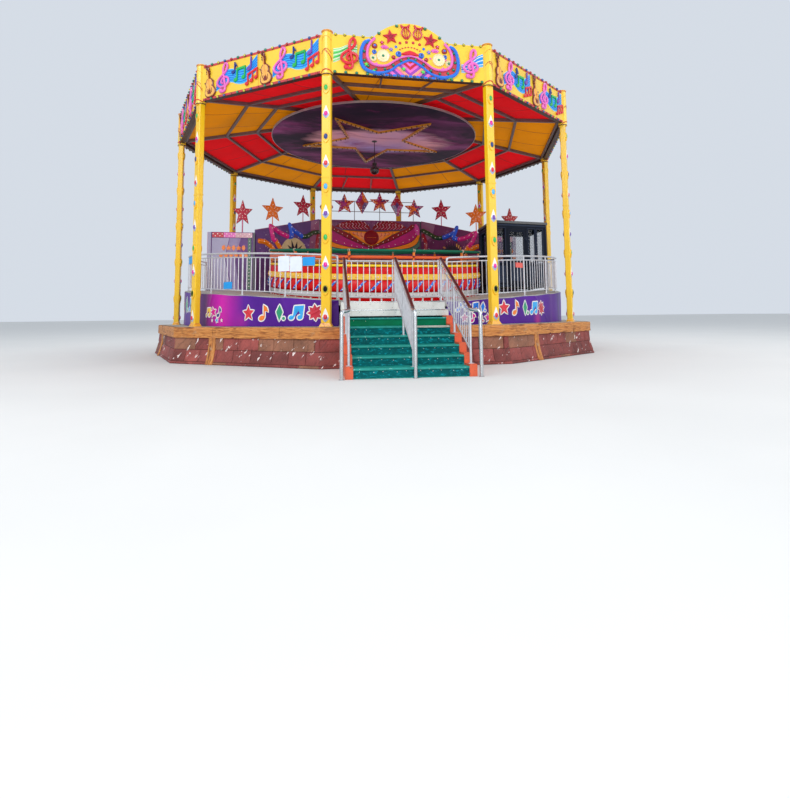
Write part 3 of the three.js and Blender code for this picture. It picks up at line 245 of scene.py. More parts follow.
# The emission of the scenery paints below is painted light: daylight on the backdrop; these painted parts are no lamps.
panel_purple = paint("scenery_purple", (.4, .27, .5), .4, coat=.1, ior=1.3, vary=.22, grain=1.1, emit=.08,
                     wear=((.52, .38, .58), .16, 1.6))
panel_pale = paint("scenery_pale_mauve", (.6, .36, .5), .35, vary=.25, grain=1.5, emit=.06)
pale_lavender = paint("cabinet_pale_lavender", (.66, .64, .76), .35, vary=.1, grain=1.3)
panel_lavender = paint("cabinet_lavender", (.55, .48, .66), .35, vary=.12, grain=1.3)
magenta_panel = paint("scenery_magenta", (.68, .06, .4), .45, coat=.05, ior=1.25, vary=.2, grain=2, emit=.1)
crimson_panel = paint("scenery_crimson", (.52, .02, .09), .45, coat=.05, ior=1.25, vary=.25, grain=2, emit=.1)
amber_panel = paint("scenery_amber", (.9, .48, .04), .45, coat=.05, ior=1.25, emit=.12)
leaf_green = paint("scenery_leaf_green", (.1, .32, .14), .35)
ball_crimson = paint("scenery_ball", (.5, .02, .07), .5, coat=0, ior=1.25, emit=.1)
star_orange = paint("star_orange", (.88, .42, .02), .45, coat=.1, vary=.15, grain=9, emit=.12)
star_red = paint("star_red", (.66, .03, .08), .45, coat=.1, vary=.15, grain=9, emit=.1)
star_crimson = paint("star_crimson", (.7, .03, .2), .45, coat=.1, vary=.15, grain=9, emit=.1)
sign_magenta = paint("sign_magenta", (.7, .12, .5), .35, vary=.2, grain=9, emit=.05)
gem_blue = paint("gem_blue", (.03, .22, .5), .3, coat=.1)
gem_night = paint("gem_night", (0, .03, .09), .45, coat=0, ior=1.25)
ring_green = paint("bezel_green", (.62, .7, .12), .3)
gem_sky = paint("gem_sky", (.3, .7, .95), .25, coat=.3)
mint = paint("ribbon_mint", (.55, .88, .5), .35)
salmon = paint("salmon_relief", (.97, .62, .5), .35)
violet = paint("violet_relief", (.62, .25, .7), .3)
blue_soft = paint("soft_blue_relief", (.35, .5, .9), .3)
leaf = paint("leaf_star", (.35, .88, .35), .3)
leaf_dark = paint("print_green", (.08, .6, .42), .4)
crimson = paint("crimson_relief", (.78, .08, .2), .3, wear=((.9, .3, .35), .14, 16))
lamp_brown = paint("star_lamp", (.42, .2, .1), .2, coat=1)
lamp_grey = paint("rim_lamp", (.62, .6, .6), .2, coat=1)
amber_tube = paint("star_tube_amber", (.8, .5, .12), .3, emit=.06)
# The band's emission is painted light from its bulbs and highlights: the band itself is no lamp.
amber_band = paint("lamp_band_amber", (.96, .78, .28), .45, coat=.1, emit=.14)
bar_blue = paint("bar_blue", (.02, .5, .95), .3, coat=.1)
# Darker red, painted shade on the bowl: the side band's ribs and the gap between its rolls.
bowl_shade_red = paint("bowl_red_painted_shade", (.42, .04, .06), .4)
roll_amber = paint("roll_amber", (.85, .5, .14), .4)
pale_clamp = paint("pale_clamp", (.88, .75, .68), .4)
dance_floor = surface("bowl_floor_plate", (.42, .42, .44), .4, .7, vary=.12, grain=12, bump=.5, fine=70,
                      wear=((.65, .65, .65), .12, 9))
booth_paint = surface("booth_blue_black", (.05, .08, .14), .5, ior=1.2)
booth_edge = surface("booth_edge", (.14, .18, .26), .45, ior=1.25)
board_white = paint("blank_board", (.88, .91, .96), .5, coat=0, vary=.05, grain=9)
board_blue = paint("blue_board", (.02, .6, .9), .5, coat=0)
board_red = paint("red_board", (.9, .35, .3), .4)
plum = paint("plum_paint", (.14, .1, .17), .35)
rose = paint("rose_line", (.86, .42, .55), .35)
pale_pink = paint("pale_pink", (.86, .66, .72), .35)
violet_paint = paint("violet_paint", (.4, .2, .5), .35, vary=.2)
# The emission of this scenery paint and of the ribbon tubes below is painted light: daylight on the backdrop; the tubes
# only carry bulbs.
panel_mauve_dark = paint("scenery_mauve_dark", (.44, .19, .37), .4, coat=.1, ior=1.3, vary=.25, grain=1.2, emit=.08,
                         wear=((.56, .33, .48), .16, 1.8))
red_tube = paint("tube_red", (.62, .07, .14), .3, emit=.05)
green_tube = paint("tube_green", (.02, .3, .18), .3, emit=.05)
blue_tube = paint("tube_blue", (.14, .36, .86), .3, emit=.08)
magenta_tube = paint("tube_magenta", (.86, .14, .52), .3, emit=.08)
orange_tube = paint("tube_orange", (.94, .5, .06), .3, emit=.08)
floor_pale = surface("pale_floor", (.86, .86, .85), .85, vary=.03, grain=.4, bump=.05)


def timber_material():
    """Cement cast and painted as planks, worn in pale and dark patches."""
    f = Finish("faux_timber")
    rings = f.texture("Noise", 2, (1.2, 14, 14), True, 8, Distortion=1.2)
    tone = f.ramp(rings, [(.32, srgb(.36, .17, .06)), (.44, srgb(.7, .42, .17)),
                          (.56, srgb(.84, .57, .29)), (.68, srgb(.5, .26, .09))])
    worn = f.texture("Noise", 3, None, True, 10, Roughness=.75)
    tone = f.mix(f.ramp(worn, [(.57, 0), (.63, .8)]), tone, srgb(.72, .57, .42))
    stain = f.texture("Noise", 1.3, None, True, 8, Roughness=.7)
    tone = f.mix(f.ramp(stain, [(.32, .7), (.46, 0)]), tone, srgb(.45, .24, .1))
    return f.done(tone, rings, .5, .01, Roughness=.6)


def stone_material(name, tone_shift, hue=(.53, .25, .23)):
    """Painted cement block: drifting reds, slanting tool marks, short slanting chips down to the cement."""
    f, base, slant = Finish(name), shade(srgb(*hue), tone_shift), (0, rad(-52), 0)
    patch = f.texture("Noise", 2.2, detail=3)
    tone = f.ramp(patch, [(.32, shade(base, .7)), (.5, base), (.66, shade(base, 1.3))])
    marks = f.texture("Noise", 5, (.25, .6, 1.6), False, 5, slant, Roughness=.5)
    tone = f.mix(f.ramp(marks, [(.485, 0), (.5, .8), (.515, 0)]), tone, shade(base, .5))
    chips = f.texture("Noise", 9, (.45, .8, 1.5), False, 6, slant, Roughness=.55)
    tone = f.mix(f.ramp(chips, [(.645, 0), (.66, 1)]), tone, srgb(.93, .88, .86))
    return f.done(tone, f.texture("Noise", 22, detail=8), .9, .02, Roughness=.7)


def vinyl_material():
    """The printed purple vinyl: magenta clouds at the left end and low at the right."""
    f = Finish("banner_vinyl")
    tone = f.ramp(f.texture("Noise", .9), [(.3, srgb(.27, .05, .5)), (.72, srgb(.36, .08, .6))])
    for middle, size, colour, soft_to in (((-4.95, -3.2, 1.2), (1.5, 1.1, .4), (.34, .07, .42), .4),
                                          ((-4.38, -3.95, 1.2), (1.25, 1.25, .35), (.8, .09, .66), .9),
                                          ((-3.87, -4.46, .97), (3.2, 3.2, 3.2), (.62, .1, .6), 1),
                                          ((3.56, -4.7, .94), (4.2, 4.2, 3), (.66, .1, .5), 1)):
        tone = f.mix(f.ramp(f.spot(size, middle), [(0, 0), (soft_to, 1)]), tone, srgb(*colour))
    return f.done(tone, f.texture("Noise", 200), .1, .003, Roughness=.42, Specular_IOR_Level=.3)


def sky_material():
    """The painted night sky of the ceiling disc: a dark violet dusk, pale bands of cloud, small stars."""
    f = Finish("painted_sky")
    dusk = f.texture("Noise", .42, (.7, 1.45, 1), False, 10, Roughness=.62, Distortion=.9)
    dark = f.ramp(dusk, [(.34, srgb(.09, .06, .13)), (.47, srgb(.17, .08, .17)),
                         (.56, srgb(.32, .13, .28)), (.66, srgb(.5, .24, .42))])
    spot = f.spot((.29, .58, .3), (.2, 0, 7))
    torn = f.texture("Noise", .7, (.7, 1.7, 1), False, 10, Roughness=.66, Distortion=.7)
    cloud = f.ramp(f.mix(1, spot, torn, "MULTIPLY"), [(.12, 0), (.24, 1)])
    tint = f.texture("Noise", .3, detail=3)
    pale = f.ramp(tint, [(.4, srgb(.62, .5, .7)), (.6, srgb(.82, .58, .62))])
    tone = f.mix(cloud, dark, pale)
    haze = f.texture("Noise", .8, (.6, 1.6, 1), False, 9, Roughness=.65, Distortion=.6)
    tone = f.mix(f.ramp(haze, [(.55, 0), (.68, .7)]), tone, srgb(.46, .1, .34))
    stars = f.ramp(f.texture("Voronoi", 9), [(.03, 1), (.06, 0)])
    tone = f.mix(stars, tone, srgb(.85, .8, .9))
    # The sky's emission is painted light: the disc is no lamp.
    return f.done(tone, emit=.3, Roughness=.6, Specular_IOR_Level=.15)


def glass_material(name, colour):
    f, tint = Finish(name), srgb(*colour)
    tone = f.ramp(f.texture("Noise", 3, detail=6), [(.3, shade(tint, .8)), (.8, shade(tint, 1.3))])
    return f.done(tone, Roughness=.05, Alpha=.16, IOR=1.5)


timber, sky, banner_back = timber_material(), sky_material(), vinyl_material()
stone, stone_dark, stone_light = [stone_material("painted_stone" + n, q)
                                  for n, q in (("", 1), ("_dark", .75), ("_light", 1.25))]
stone_tan = stone_material("painted_stone_tan", 1, (.56, .37, .28))
glass = glass_material("tinted_glass", (.16, .19, .22))


# ---------------------------------------------------------------- geometry
def polar(r, a, z=0):
    return Vector((r * cos(rad(a)), r * sin(rad(a)), z))


def frame_at(origin, out_angle):
    """x along the tangent, y up, z outwards, at a point of the ring."""
    a = rad(out_angle)
    m = Matrix(((-sin(a), 0, cos(a)), (cos(a), 0, sin(a)), (0, 1, 0))).to_4x4()
    return Matrix.Translation(origin) @ m


def moved(x, y, z):
    return Matrix.Translation((x, y, z))


def about_z(angle):
    return Matrix.Rotation(rad(angle), 4, "Z")


def turn_to(i, n):
    """The turn about z to place i of n."""
    return Matrix.Rotation(2 * pi * i / n, 4, "Z")


def spin(x, y, z, angle=0):
    return moved(x, y, z) @ about_z(angle)


def quads(rows, n, around=False, closed=False, flip=False):
    """Faces between rows of n points: around joins the ends of each row, closed the last row to the first."""
    faces = []
    for j in range(rows if closed else rows - 1):
        low, high = j * n, (j + 1) % rows * n
        for i in range(n if around else n - 1):
            k = (i + 1) % n
            face = (low + i, low + k, high + k, high + i)
            faces.append(face[:1] + face[:0:-1] if flip else face)
    return faces


def rim_of(cols, rows):
    """The points round the edge of a grid of quads."""
    w = cols + 1
    return (list(range(w)) + [j * w + cols for j in range(1, rows + 1)]
            + [rows * w + i for i in range(cols - 1, -1, -1)] + [j * w for j in range(rows - 1, 0, -1)])


TO_FRONT, TO_SIDE = Matrix.Rotation(rad(90), 4, "X"), Matrix.Rotation(rad(90), 4, "Y")
BOX_FACES = [(0, 2, 3, 1), (4, 5, 7, 6), (0, 1, 5, 4), (2, 6, 7, 3), (0, 4, 6, 2), (1, 3, 7, 5)]


class Part:
    """Gathers shapes of several finishes into one piece that rides on a body."""

    def __init__(self, name, body=RIDE, at=None):
        self.name, self.body = name, body
        self.verts, self.faces, self.index, self.smooth, self.uv, self.mats = [], [], [], [], [], []
        self.at = at

    def add(self, verts, faces, mat, T=None, smooth=False, uv=None):
        if mat not in self.mats:
            self.mats.append(mat)
        slot, base = self.mats.index(mat), len(self.verts)
        T = self.at @ T if (T is not None and self.at is not None) else (T if T is not None else self.at)
        verts = [Vector(v) for v in verts]
        self.verts += [T @ v for v in verts] if T is not None else verts
        for f in faces:
            self.faces.append([base + i for i in f])
            self.index.append(slot)
            self.smooth.append(smooth)
            if uv:
                self.uv += [uv(verts[i]) for i in f]
            else:
                a, b, c = verts[f[0]], verts[f[1]], verts[f[2]]
                n = (b - a).cross(c - a)
                k = max(range(3), key=lambda i: abs(n[i]))
                p, q = [(1, 2), (0, 2), (0, 1)][k]
                self.uv += [(verts[i][p], verts[i][q]) for i in f]

    def box(self, lo, hi, mat, T=None):
        x, y, z = zip(lo, hi)
        v = [(x[i], y[j], z[k]) for k in (0, 1) for j in (0, 1) for i in (0, 1)]
        self.add(v, BOX_FACES, mat, T)

    def tube(self, path, r, mat, n=8, closed=False, T=None):
        """A round tube along a path; r may be a list."""
        path = [Vector(p) for p in path]
        radii = r if hasattr(r, "__len__") else [r] * len(path)
        count = len(path)
        verts, side = [], None
        for i, p in enumerate(path):
            before = path[i - 1] if (i or closed) else p
            after = path[(i + 1) % count] if (i < count - 1 or closed) else p
            t = (after - before).normalized()
            if side is None:
                side = t.cross(Vector((0, 0, 1)))
                if side.length < .01:
                    side = t.cross(Vector((1, 0, 0)))
            side = (side - t * side.dot(t)).normalized()
            other = t.cross(side)
            for k in range(n):
                a = 2 * pi * (k + .5) / n
                verts.append(p + radii[i] * (side * cos(a) + other * sin(a)))
        faces = quads(count, n, True, closed, True)
        if not closed:
            faces += [tuple(range(n)), tuple(count * n - 1 - k for k in range(n))]
        self.add(verts, faces, mat, T, n > 4)

    def bar(self, p, q, w, h, mat, T=None):
        """A flat or square bar between two points, h in the upright direction."""
        p, q = Vector(p), Vector(q)
        t = (q - p).normalized()
        side = t.cross(Vector((0, 0, 1)))
        side = side.normalized() if side.length > 1e-4 else Vector((1, 0, 0))
        u = side.cross(t)
        v = [e + side * sx * w / 2 + u * sz * h / 2 for e in (p, q) for sz in (-1, 1) for sx in (-1, 1)]
        self.add(v, BOX_FACES, mat, T)

    def lathe(self, profile, mat, n=48, T=None, closed=False, smooth=True):
        verts = [(r * cos(2 * pi * k / n), r * sin(2 * pi * k / n), z) for r, z in profile for k in range(n)]
        self.add(verts, quads(len(profile), n, True, closed), mat, T, smooth)

    def ball(self, c, r, mat, T=None, n=8):
        rows = max(3, n // 2)
        verts = [Vector(c) + Vector((0, 0, r))]
        for i in range(1, rows):
            t = pi * i / rows
            verts += [Vector(c) + Vector((r * sin(t) * cos(2 * pi * k / n), r * sin(t) * sin(2 * pi * k / n),
                                          r * cos(t))) for k in range(n)]
        verts.append(Vector(c) - Vector((0, 0, r)))
        faces = [(0, 1 + k, 1 + (k + 1) % n) for k in range(n)]
        faces += [tuple(1 + v for v in face) for face in quads(rows - 1, n, True, flip=True)]
        a, last = 1 + (rows - 2) * n, len(verts) - 1
        faces += [(last, a + (k + 1) % n, a + k) for k in range(n)]
        self.add(verts, faces, mat, T, True)

    def prism(self, outline, z0, z1, mat, T=None, crown=0):
        """A flat shape with a thickness; crown draws its upper edge in, like a moulded relief."""
        pts = [Vector((x, y)) for x, y in outline]
        area = sum(a.x * b.y - b.x * a.y for a, b in zip(pts, pts[1:] + pts[:1]))
        if area < 0:
            pts.reverse()
        n = len(pts)
        rows = [(z0, 0), (z1, 0)] if not crown else [(z0, 0), (z1 - crown, 0), (z1, crown * .8)]
        verts = []
        for z, inward in rows:
            for i, p in enumerate(pts):
                a, b = p - pts[i - 1], pts[(i + 1) % n] - p
                m = (a.normalized() + b.normalized())
                m = Vector((-m.y, m.x)).normalized() if m.length > 1e-6 else Vector((0, 0))
                verts.append((p.x + m.x * inward, p.y + m.y * inward, z))
        faces = [tuple(n - 1 - i for i in range(n)), tuple((len(rows) - 1) * n + i for i in range(n))]
        self.add(verts, faces + quads(len(rows), n, True), mat, T)

    def done(self, slot, replaces=(), subdiv=0):
        mesh = bpy.data.meshes.new(self.name)
        mesh.from_pydata([tuple(v) for v in self.verts], [], self.faces)
        for m in self.mats:
            mesh.materials.append(m)
        mesh.polygons.foreach_set("material_index", self.index)
        mesh.polygons.foreach_set("use_smooth", self.smooth)
        layer = mesh.uv_layers.new(name="metres")
        layer.data.foreach_set("uv", [c for pair in self.uv for c in pair])
        mesh.validate()
        mesh.update()
        mesh.set_sharp_from_angle(angle=rad(38))
        obj = bpy.data.objects.new(self.name, mesh)
        scene.collection.objects.link(obj)
        if subdiv:
            mod = obj.modifiers.new("smooth", "SUBSURF")
            mod.levels = mod.render_levels = subdiv
        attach(obj, self.body)
        if replaces:
            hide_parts(*replaces)
        return obj


def smooth_path(points, steps=6, closed=False):
    """A smooth line through the points."""
    pts = [Vector(p) for p in points]
    n = len(pts)
    out = []
    for i in range(n if closed else n - 1):
        p0 = pts[i - 1] if (i or closed) else pts[0]
        p1, p2 = pts[i], pts[(i + 1) % n]
        p3 = pts[(i + 2) % n] if (i + 2 < n or closed) else pts[-1]
        for s in range(steps):
            t = s / steps
            out.append(.5 * (2 * p1 + (p2 - p0) * t + (2 * p0 - 5 * p1 + 4 * p2 - p3) * t * t
                             + (3 * p1 - p0 - 3 * p2 + p3) * t ** 3))
    if not closed:
        out.append(pts[-1])
    return out


def ellipse(cx, cy, a, b, turn=0, n=16):
    t = rad(turn)
    return [(cx + a * cos(u) * cos(t) - b * sin(u) * sin(t), cy + a * cos(u) * sin(t) + b * sin(u) * cos(t))
            for u in (2 * pi * k / n for k in range(n))]


def star_points(cx, cy, r, inner=.42, turn=90, points=5):
    out = []
    for i in range(points * 2):
        a, d = rad(turn + i * 180 / points), r * (inner if i % 2 else 1)
        out.append((cx + d * cos(a), cy + d * sin(a)))
    return out


# ---------------------------------------------------------------- dimensions shared with the frame
FRONT, SIDE = -90, 36
FIRST = FRONT - SIDE / 2
PLINTH = .85
COLUMN_R = 6.2
FACE = cos(rad(18))
FASCIA_LOW, FASCIA_HIGH = PLINTH + 5.718, PLINTH + 6.63
DECK_Z = PLINTH + .545
STAIR = spin(-.43, -5.88, 0, -2.8)
TILT_AT = moved(0, .15, 1.3) @ Matrix.Rotation(rad(6), 4, "X")


def deck_z(angle):
    off = abs((angle - FRONT + 540) % 360 - 180)
    return DECK_Z + max(0, min(off, 90) - 9) * .0063


def ring_r(radius, angle):
    """The frame's ring pieces are polygons with 9 degree sides."""
    middle = FRONT + (math.floor((angle - FRONT) / 9) + .5) * 9
    return radius * cos(rad(4.5)) / cos(rad(angle - middle))


# ---------------------------------------------------------------- finishes of the frame's own solids
for mat, names in ((plate, "deck_front deck_left deck_right deck_rear"), (step_white, "deck_steps"),
                   (steel, "deck_legs"), (dark, "pit_wall"), (black, "pedestal tilt_frame booth_roof"),
                   (stair_red, "stair_cheek_left stair_cheek_right"), (stair_green, "stair_flight"),
                   (fascia_yellow, "fascia_front fascia_right fascia_rear fascia_left"),
                   (panel_purple, "cabinet_left cabinet_right"), (booth_paint, "booth_walls booth_door"),
                   (glass, "booth_glass"), (amber_tube, "ceiling_star"),
                   (yellow, " ".join("column_%02d" % (k + 1) for k in range(10)))):
    for name in names.split():
        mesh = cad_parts[name].data
        mesh.materials.clear()
        mesh.materials.append(mat)


def column_angle(k):
    return FIRST + SIDE * k


def panel_angle(k):
    return column_angle(k) + SIDE / 2


# ---------------------------------------------------------------- columns
GEMS = [("round", green), ("drop", magenta), ("round", gem_blue), ("drop", red), ("round", gem_sky),
        ("drop", purple), ("round", green), ("drop", magenta), ("round", gem_night), ("drop", red)]


def mirrored(half):
    """A whole outline from its right half, from the top to the bottom."""
    return half + [(-x, y) for x, y in reversed(half) if x > 1e-6]


DROP = mirrored([(0, .168), (.02, .118), (.043, .06), (.065, 0), (.077, -.042), (.066, -.078), (.036, -.115),
                 (0, -.146)])
BEZEL = mirrored([(0, .105), (.04, .098), (.068, .07), (.082, .02), (.08, -.03), (.064, -.08), (.034, -.122),
                  (0, -.145)])


def dome(p, x, y, r, mat, T=None, rise=.5, n=16, wide=1):
    """A low moulded dome on a face, or a long one where wide isn't 1."""
    rings = [(1, 0), (.93, .3), (.72, .62), (.4, .88)]
    verts = [(x + r * q * cos(2 * pi * k / n), y + r * wide * q * sin(2 * pi * k / n), r * rise * h)
             for q, h in rings for k in range(n)] + [(x, y, r * rise)]
    faces = quads(4, n, True)
    faces += [(3 * n + k, 3 * n + (k + 1) % n, 4 * n) for k in range(n)]
    p.add(verts, faces, mat, T, True)


def facets(p, outline, low, peak, mats):
    """A low pyramid over an outline, with its peak at a point; its lower facets have the second finish, a painted
    blue-grey shade on the faces that look down.
    """
    n = len(outline)
    for mat, lower in zip(mats, (False, True)):
        p.add([(x, y, low) for x, y in outline] + [peak],
              [(i, (i + 1) % n, n) for i in range(n) if (outline[i][1] + outline[(i + 1) % n][1] < -.11) == lower], mat)


for k in range(10):
    a = column_angle(k)
    p = Part("column_gems_%02d" % (k + 1))
    for side in (0, 180):
        for i, (kind, mat) in enumerate(GEMS):
            z = 1.095 + .5665 * (9 - i)
            p.at = frame_at(polar(COLUMN_R, a) + polar(.0732, a + side, z), a + side)
            if kind == "round":
                p.prism(BEZEL, 0, .024, bezel, crown=.013)
                p.tube([(x, y, .024) for x, y in ellipse(0, .005, .056, .078, 0, 22)], .0075,
                       ring_green if mat is gem_night else bezel, 6, True)
                dome(p, 0, .005, .047, mat, moved(0, 0, .02), .5, 20, 1.45)
            else:
                p.prism(DROP[::-1], 0, .007, white_gloss)
                # The drop's lower facets are painted blue-grey: painted shade under the crystal.
                facets(p, DROP[::-1], .007, (0, -.03, .034), (white_gloss, drop_painted_shade))
                dome(p, 0, -.03, .0435, mat, moved(0, 0, .019), .5, 18, 1.33)
    p.done("column_yellow")
    trim = Part("sleeve_trim_%02d" % (k + 1), at=spin(*polar(COLUMN_R, a), a))

    def on_sleeve(points, thick, mat):
        trim.tube([(.1185 * cos(rad(f)), .1185 * sin(rad(f)), z) for f, z in points], thick, mat, 6)

    for z, r, thick, mat in ((7.512, .1195, .006, rust_red), (7.537, .128, .007, orange_edge)):
        trim.tube([(r * cos(2 * pi * s / 24), r * sin(2 * pi * s / 24), z) for s in range(24)], thick, mat, 6, True)
    on_sleeve([(f, 7 + .1 * (1 - abs(f / 62) ** 1.6)) for f in range(-62, 63, 6)], .008, rust_red)
    on_sleeve([(f, 7.09 - .0016 * (f + 20) - .00001 * (f + 20) ** 2) for f in range(-20, 96, 6)], .008, rust_red)
    on_sleeve([(f, 7.35 + .05 * cos(rad(2 * f))) for f in range(-70, 71, 7)], .004, orange_edge)
    for f in range(-10, 90, 17):
        on_sleeve([(f, 7.085 - .0018 * (f + 20)), (f + 3, 7.045 - .0018 * (f + 20))], .005, rust_red)
    on_sleeve([(f, 6.545 + .07 * (1 - (f / 85) ** 2)) for f in range(-85, 86, 7)], .014, red_line)
    trim.lathe([(.119, 6.499), (.1225, 6.502), (.1225, 6.522), (.119, 6.526)], brown_trim_and_shade, 24)
    trim.done("fascia_yellow")
    foot = Part("column_foot_%02d" % (k + 1), at=spin(*polar(COLUMN_R, a), a))
    rows = [(1.395, .001), (1.39, .012), (1.28, .03), (1.14, .055), (1.05, .078), (1.03, .084)]
    verts = [(sx * .073 * f, sy * .104 * f, PLINTH + z) for f, z in rows
             for sx, sy in ((-1, -.86), (-.8, -1), (.8, -1), (1, -.86), (1, .86), (.8, 1), (-.8, 1), (-1, .86))]
    foot.add(verts, quads(len(rows), 8, True), foot_paint)
    foot.done("column_yellow")


# ---------------------------------------------------------------- fascia: reliefs and bulbs
def clef(p, x, y, h, mat, z=0, thick=.03):
    pts = [(-.13, -.4), (-.05, -.46), (.04, -.44), (.07, -.34), (.03, -.05), (-.02, .2), (0, .38), (.07, .48),
           (.14, .44), (.15, .33), (.08, .2), (-.08, .08), (-.22, -.04), (-.26, -.17), (-.14, -.28), (.06, -.28),
           (.2, -.17), (.19, -.04), (.06, .02), (-.06, -.04), (-.09, -.14), (-.01, -.19)]
    p.tube(smooth_path([(x + a * h, y + b * h, z + thick * .7) for a, b in pts], 4), thick, mat, 7)
    dome(p, x - .11 * h, y - .41 * h, .085 * h, mat, moved(0, 0, z), .8, 12)


def note(p, x, y, h, mat, flags=1, z=0):
    """A quaver: oval head, stem and flag."""
    p.prism(ellipse(x, y, .2 * h, .15 * h, 25), z, z + .035, mat, crown=.008)
    top = (x + .17 * h, y + .85 * h)
    p.prism([(x + .1 * h, y), (x + .2 * h, y), (top[0] + .04 * h, top[1]), (top[0] - .06 * h, top[1])], z, z + .03, mat)
    for i in range(flags):
        q = top[1] - .2 * h * i
        p.prism([(top[0] - .03 * h, q), (top[0] + .16 * h, q - .2 * h), (top[0] + .26 * h, q - .48 * h),
                 (top[0] + .08 * h, q - .3 * h), (top[0] - .03 * h, q - .25 * h)], z, z + .03, mat, crown=.006)


def beamed(p, x, y, h, mat, count=2, pitch=.55, z=0, slope=.25):
    """Quavers under one beam."""
    w = (count - 1) * pitch * h
    for i in range(count):
        cx, cy = x + i * pitch * h, y + i * slope * pitch * h
        p.prism(ellipse(cx, cy, .21 * h, .16 * h, 25), z, z + .038, mat, crown=.01)
        p.prism([(cx + .09 * h, cy), (cx + .2 * h, cy), (cx + .2 * h, cy + .9 * h), (cx + .09 * h, cy + .9 * h)],
                z, z + .03, mat)
    a, b = (x + .09 * h, y + .78 * h), (x + w + .2 * h, y + .78 * h + slope * w)
    p.prism([a, b, (b[0], b[1] + .2 * h), (a[0], a[1] + .2 * h)], z, z + .034, mat, crown=.006)


def violin(p, x, y, h, turn=0):
    half = [(0, .1), (.08, .07), (.125, -.01), (.135, -.09), (.125, -.15), (.145, -.21), (.185, -.29), (.195, -.38),
            (.155, -.46), (.07, -.5)]
    body = half + [(-a, b) for a, b in reversed(half[1:])]
    body = [tuple(q[:2]) for q in smooth_path([(a * h, b * h, 0) for a, b in body], 3, True)]
    T = spin(x, y, 0, turn)
    p.prism(body, 0, .05, tan, T, crown=.02)
    p.tube([(a, b, .022) for a, b in body], .022, maroon_relief, 6, True, T)
    p.prism([(-.04 * h, -.02 * h), (.04 * h, -.02 * h), (.03 * h, .36 * h), (-.03 * h, .36 * h)], 0, .045,
            maroon_relief, T, crown=.008)
    p.prism([(-.012 * h, -.3 * h), (.012 * h, -.3 * h), (.01 * h, .34 * h), (-.01 * h, .34 * h)], .045, .066, tan, T)
    p.tube(smooth_path([(0, .34 * h, .045), (.035 * h, .42 * h, .045), (0, .5 * h, .045), (-.05 * h, .46 * h, .045),
                        (-.02 * h, .4 * h, .045)], 4), .024, maroon_relief, 6, T=T)
    p.prism([(-.055 * h, -.42 * h), (.055 * h, -.42 * h), (.03 * h, -.26 * h), (-.03 * h, -.26 * h)], .045, .062,
            maroon_relief, T)
    for s in (-1, 1):
        p.tube(smooth_path([(s * .08 * h, -.24 * h, .048), (s * .1 * h, -.3 * h, .052), (s * .07 * h, -.34 * h, .052),
                            (s * .09 * h, -.4 * h, .048)], 3), .008, maroon_relief, 5, T=T)
        for u, q in ((.055, .27), (.055, .34), (.16, -.02), (.11, -.165)):
            p.ball((s * u * h, q * h, .035), .024, maroon_relief, T, 7)


def staff(p, spine, mat, lines, edge):
    """A waving ribbon of raised lines with a pale edge, through points (x, y, half width)."""
    path = smooth_path(spine, max(3, 24 // (len(spine) - 1)))
    for grow, low, high, m in ((.014, 0, .008, edge), (0, .004, .016, mat)):
        verts = []
        for x, y, half in path:
            verts += [(x, y + half + grow, low), (x, y + half + grow, high),
                      (x, y - half - grow, high), (x, y - half - grow, low)]
        p.add(verts, quads(len(path), 4, flip=True), m)
    count = len(lines)
    for i, line in enumerate(lines):
        lift = -.68 + 1.36 * i / (count - 1)
        p.tube([(x, y + lift * half, .018) for x, y, half in path], .0115, line, 5)


def bulbs(p, points, mats, r=.03, z=.012):
    for i, (x, y) in enumerate(points):
        p.lathe([(r * 1.2, z - .012), (r * 1.2, z - .002), (r, z)], black, 8, moved(x, y, 0))
        dome(p, x, y, r, mats[i % len(mats)], moved(0, 0, z - .002), 1.1, 8)


PANEL_HALF = 1.775
for k in range(10):
    a = panel_angle(k)
    p = Part("fascia_relief_%02d" % (k + 1),
             at=frame_at(polar(COLUMN_R * FACE + .06, a, (FASCIA_LOW + FASCIA_HIGH) / 2), a))
    # Dark brown plates under and behind the panel: painted shade on its underside and inner face.
    p.box((-PANEL_HALF, -.4603, -.123), (PANEL_HALF, -.4565, .002), brown_trim_and_shade)
    p.box((-PANEL_HALF, -.4603, -.1245), (PANEL_HALF, .452, -.1205), brown_trim_and_shade)
    if k:
        for y in (-.43, .43):
            p.box((-PANEL_HALF, y - .027, 0), (PANEL_HALF, y + .027, .012), coral)
            n = 17
            bulbs(p, [(-PANEL_HALF + .08 + (2 * PANEL_HALF - .16) * i / (n - 1), y * 1.04) for i in range(n)],
                  BULBS, .033, .024)
        p.box((-.003, -.4, 0), (.003, .4, .0025), orange_edge)
        for x0 in (-1.765, 0):
            violin(p, x0 + .21, 0, .8, 8)
            staff(p, [(x0 + .44, -.16, .13), (x0 + .6, -.06, .15), (x0 + .78, .03, .165), (x0 + .95, .02, .17),
                      (x0 + 1.1, -.045, .175), (x0 + 1.28, -.07, .18), (x0 + 1.44, -.03, .185), (x0 + 1.6, .09, .19),
                      (x0 + 1.73, .2, .19)], sky_blue, [blue] * 5, cream)
            clef(p, x0 + .69, 0, .76, pink, .015, .029)
            note(p, x0 + 1, .087, .29, navy, 1, .016)
            beamed(p, x0 + 1.08, -.125, .29, green, 2, .84, .016, .1)
            note(p, x0 + 1.5, .08, .34, purple, 0, .016)
            beamed(p, x0 + 1.43, -.296, .25, red, 3, .56, .02, .4)
    p.done("fascia_yellow")

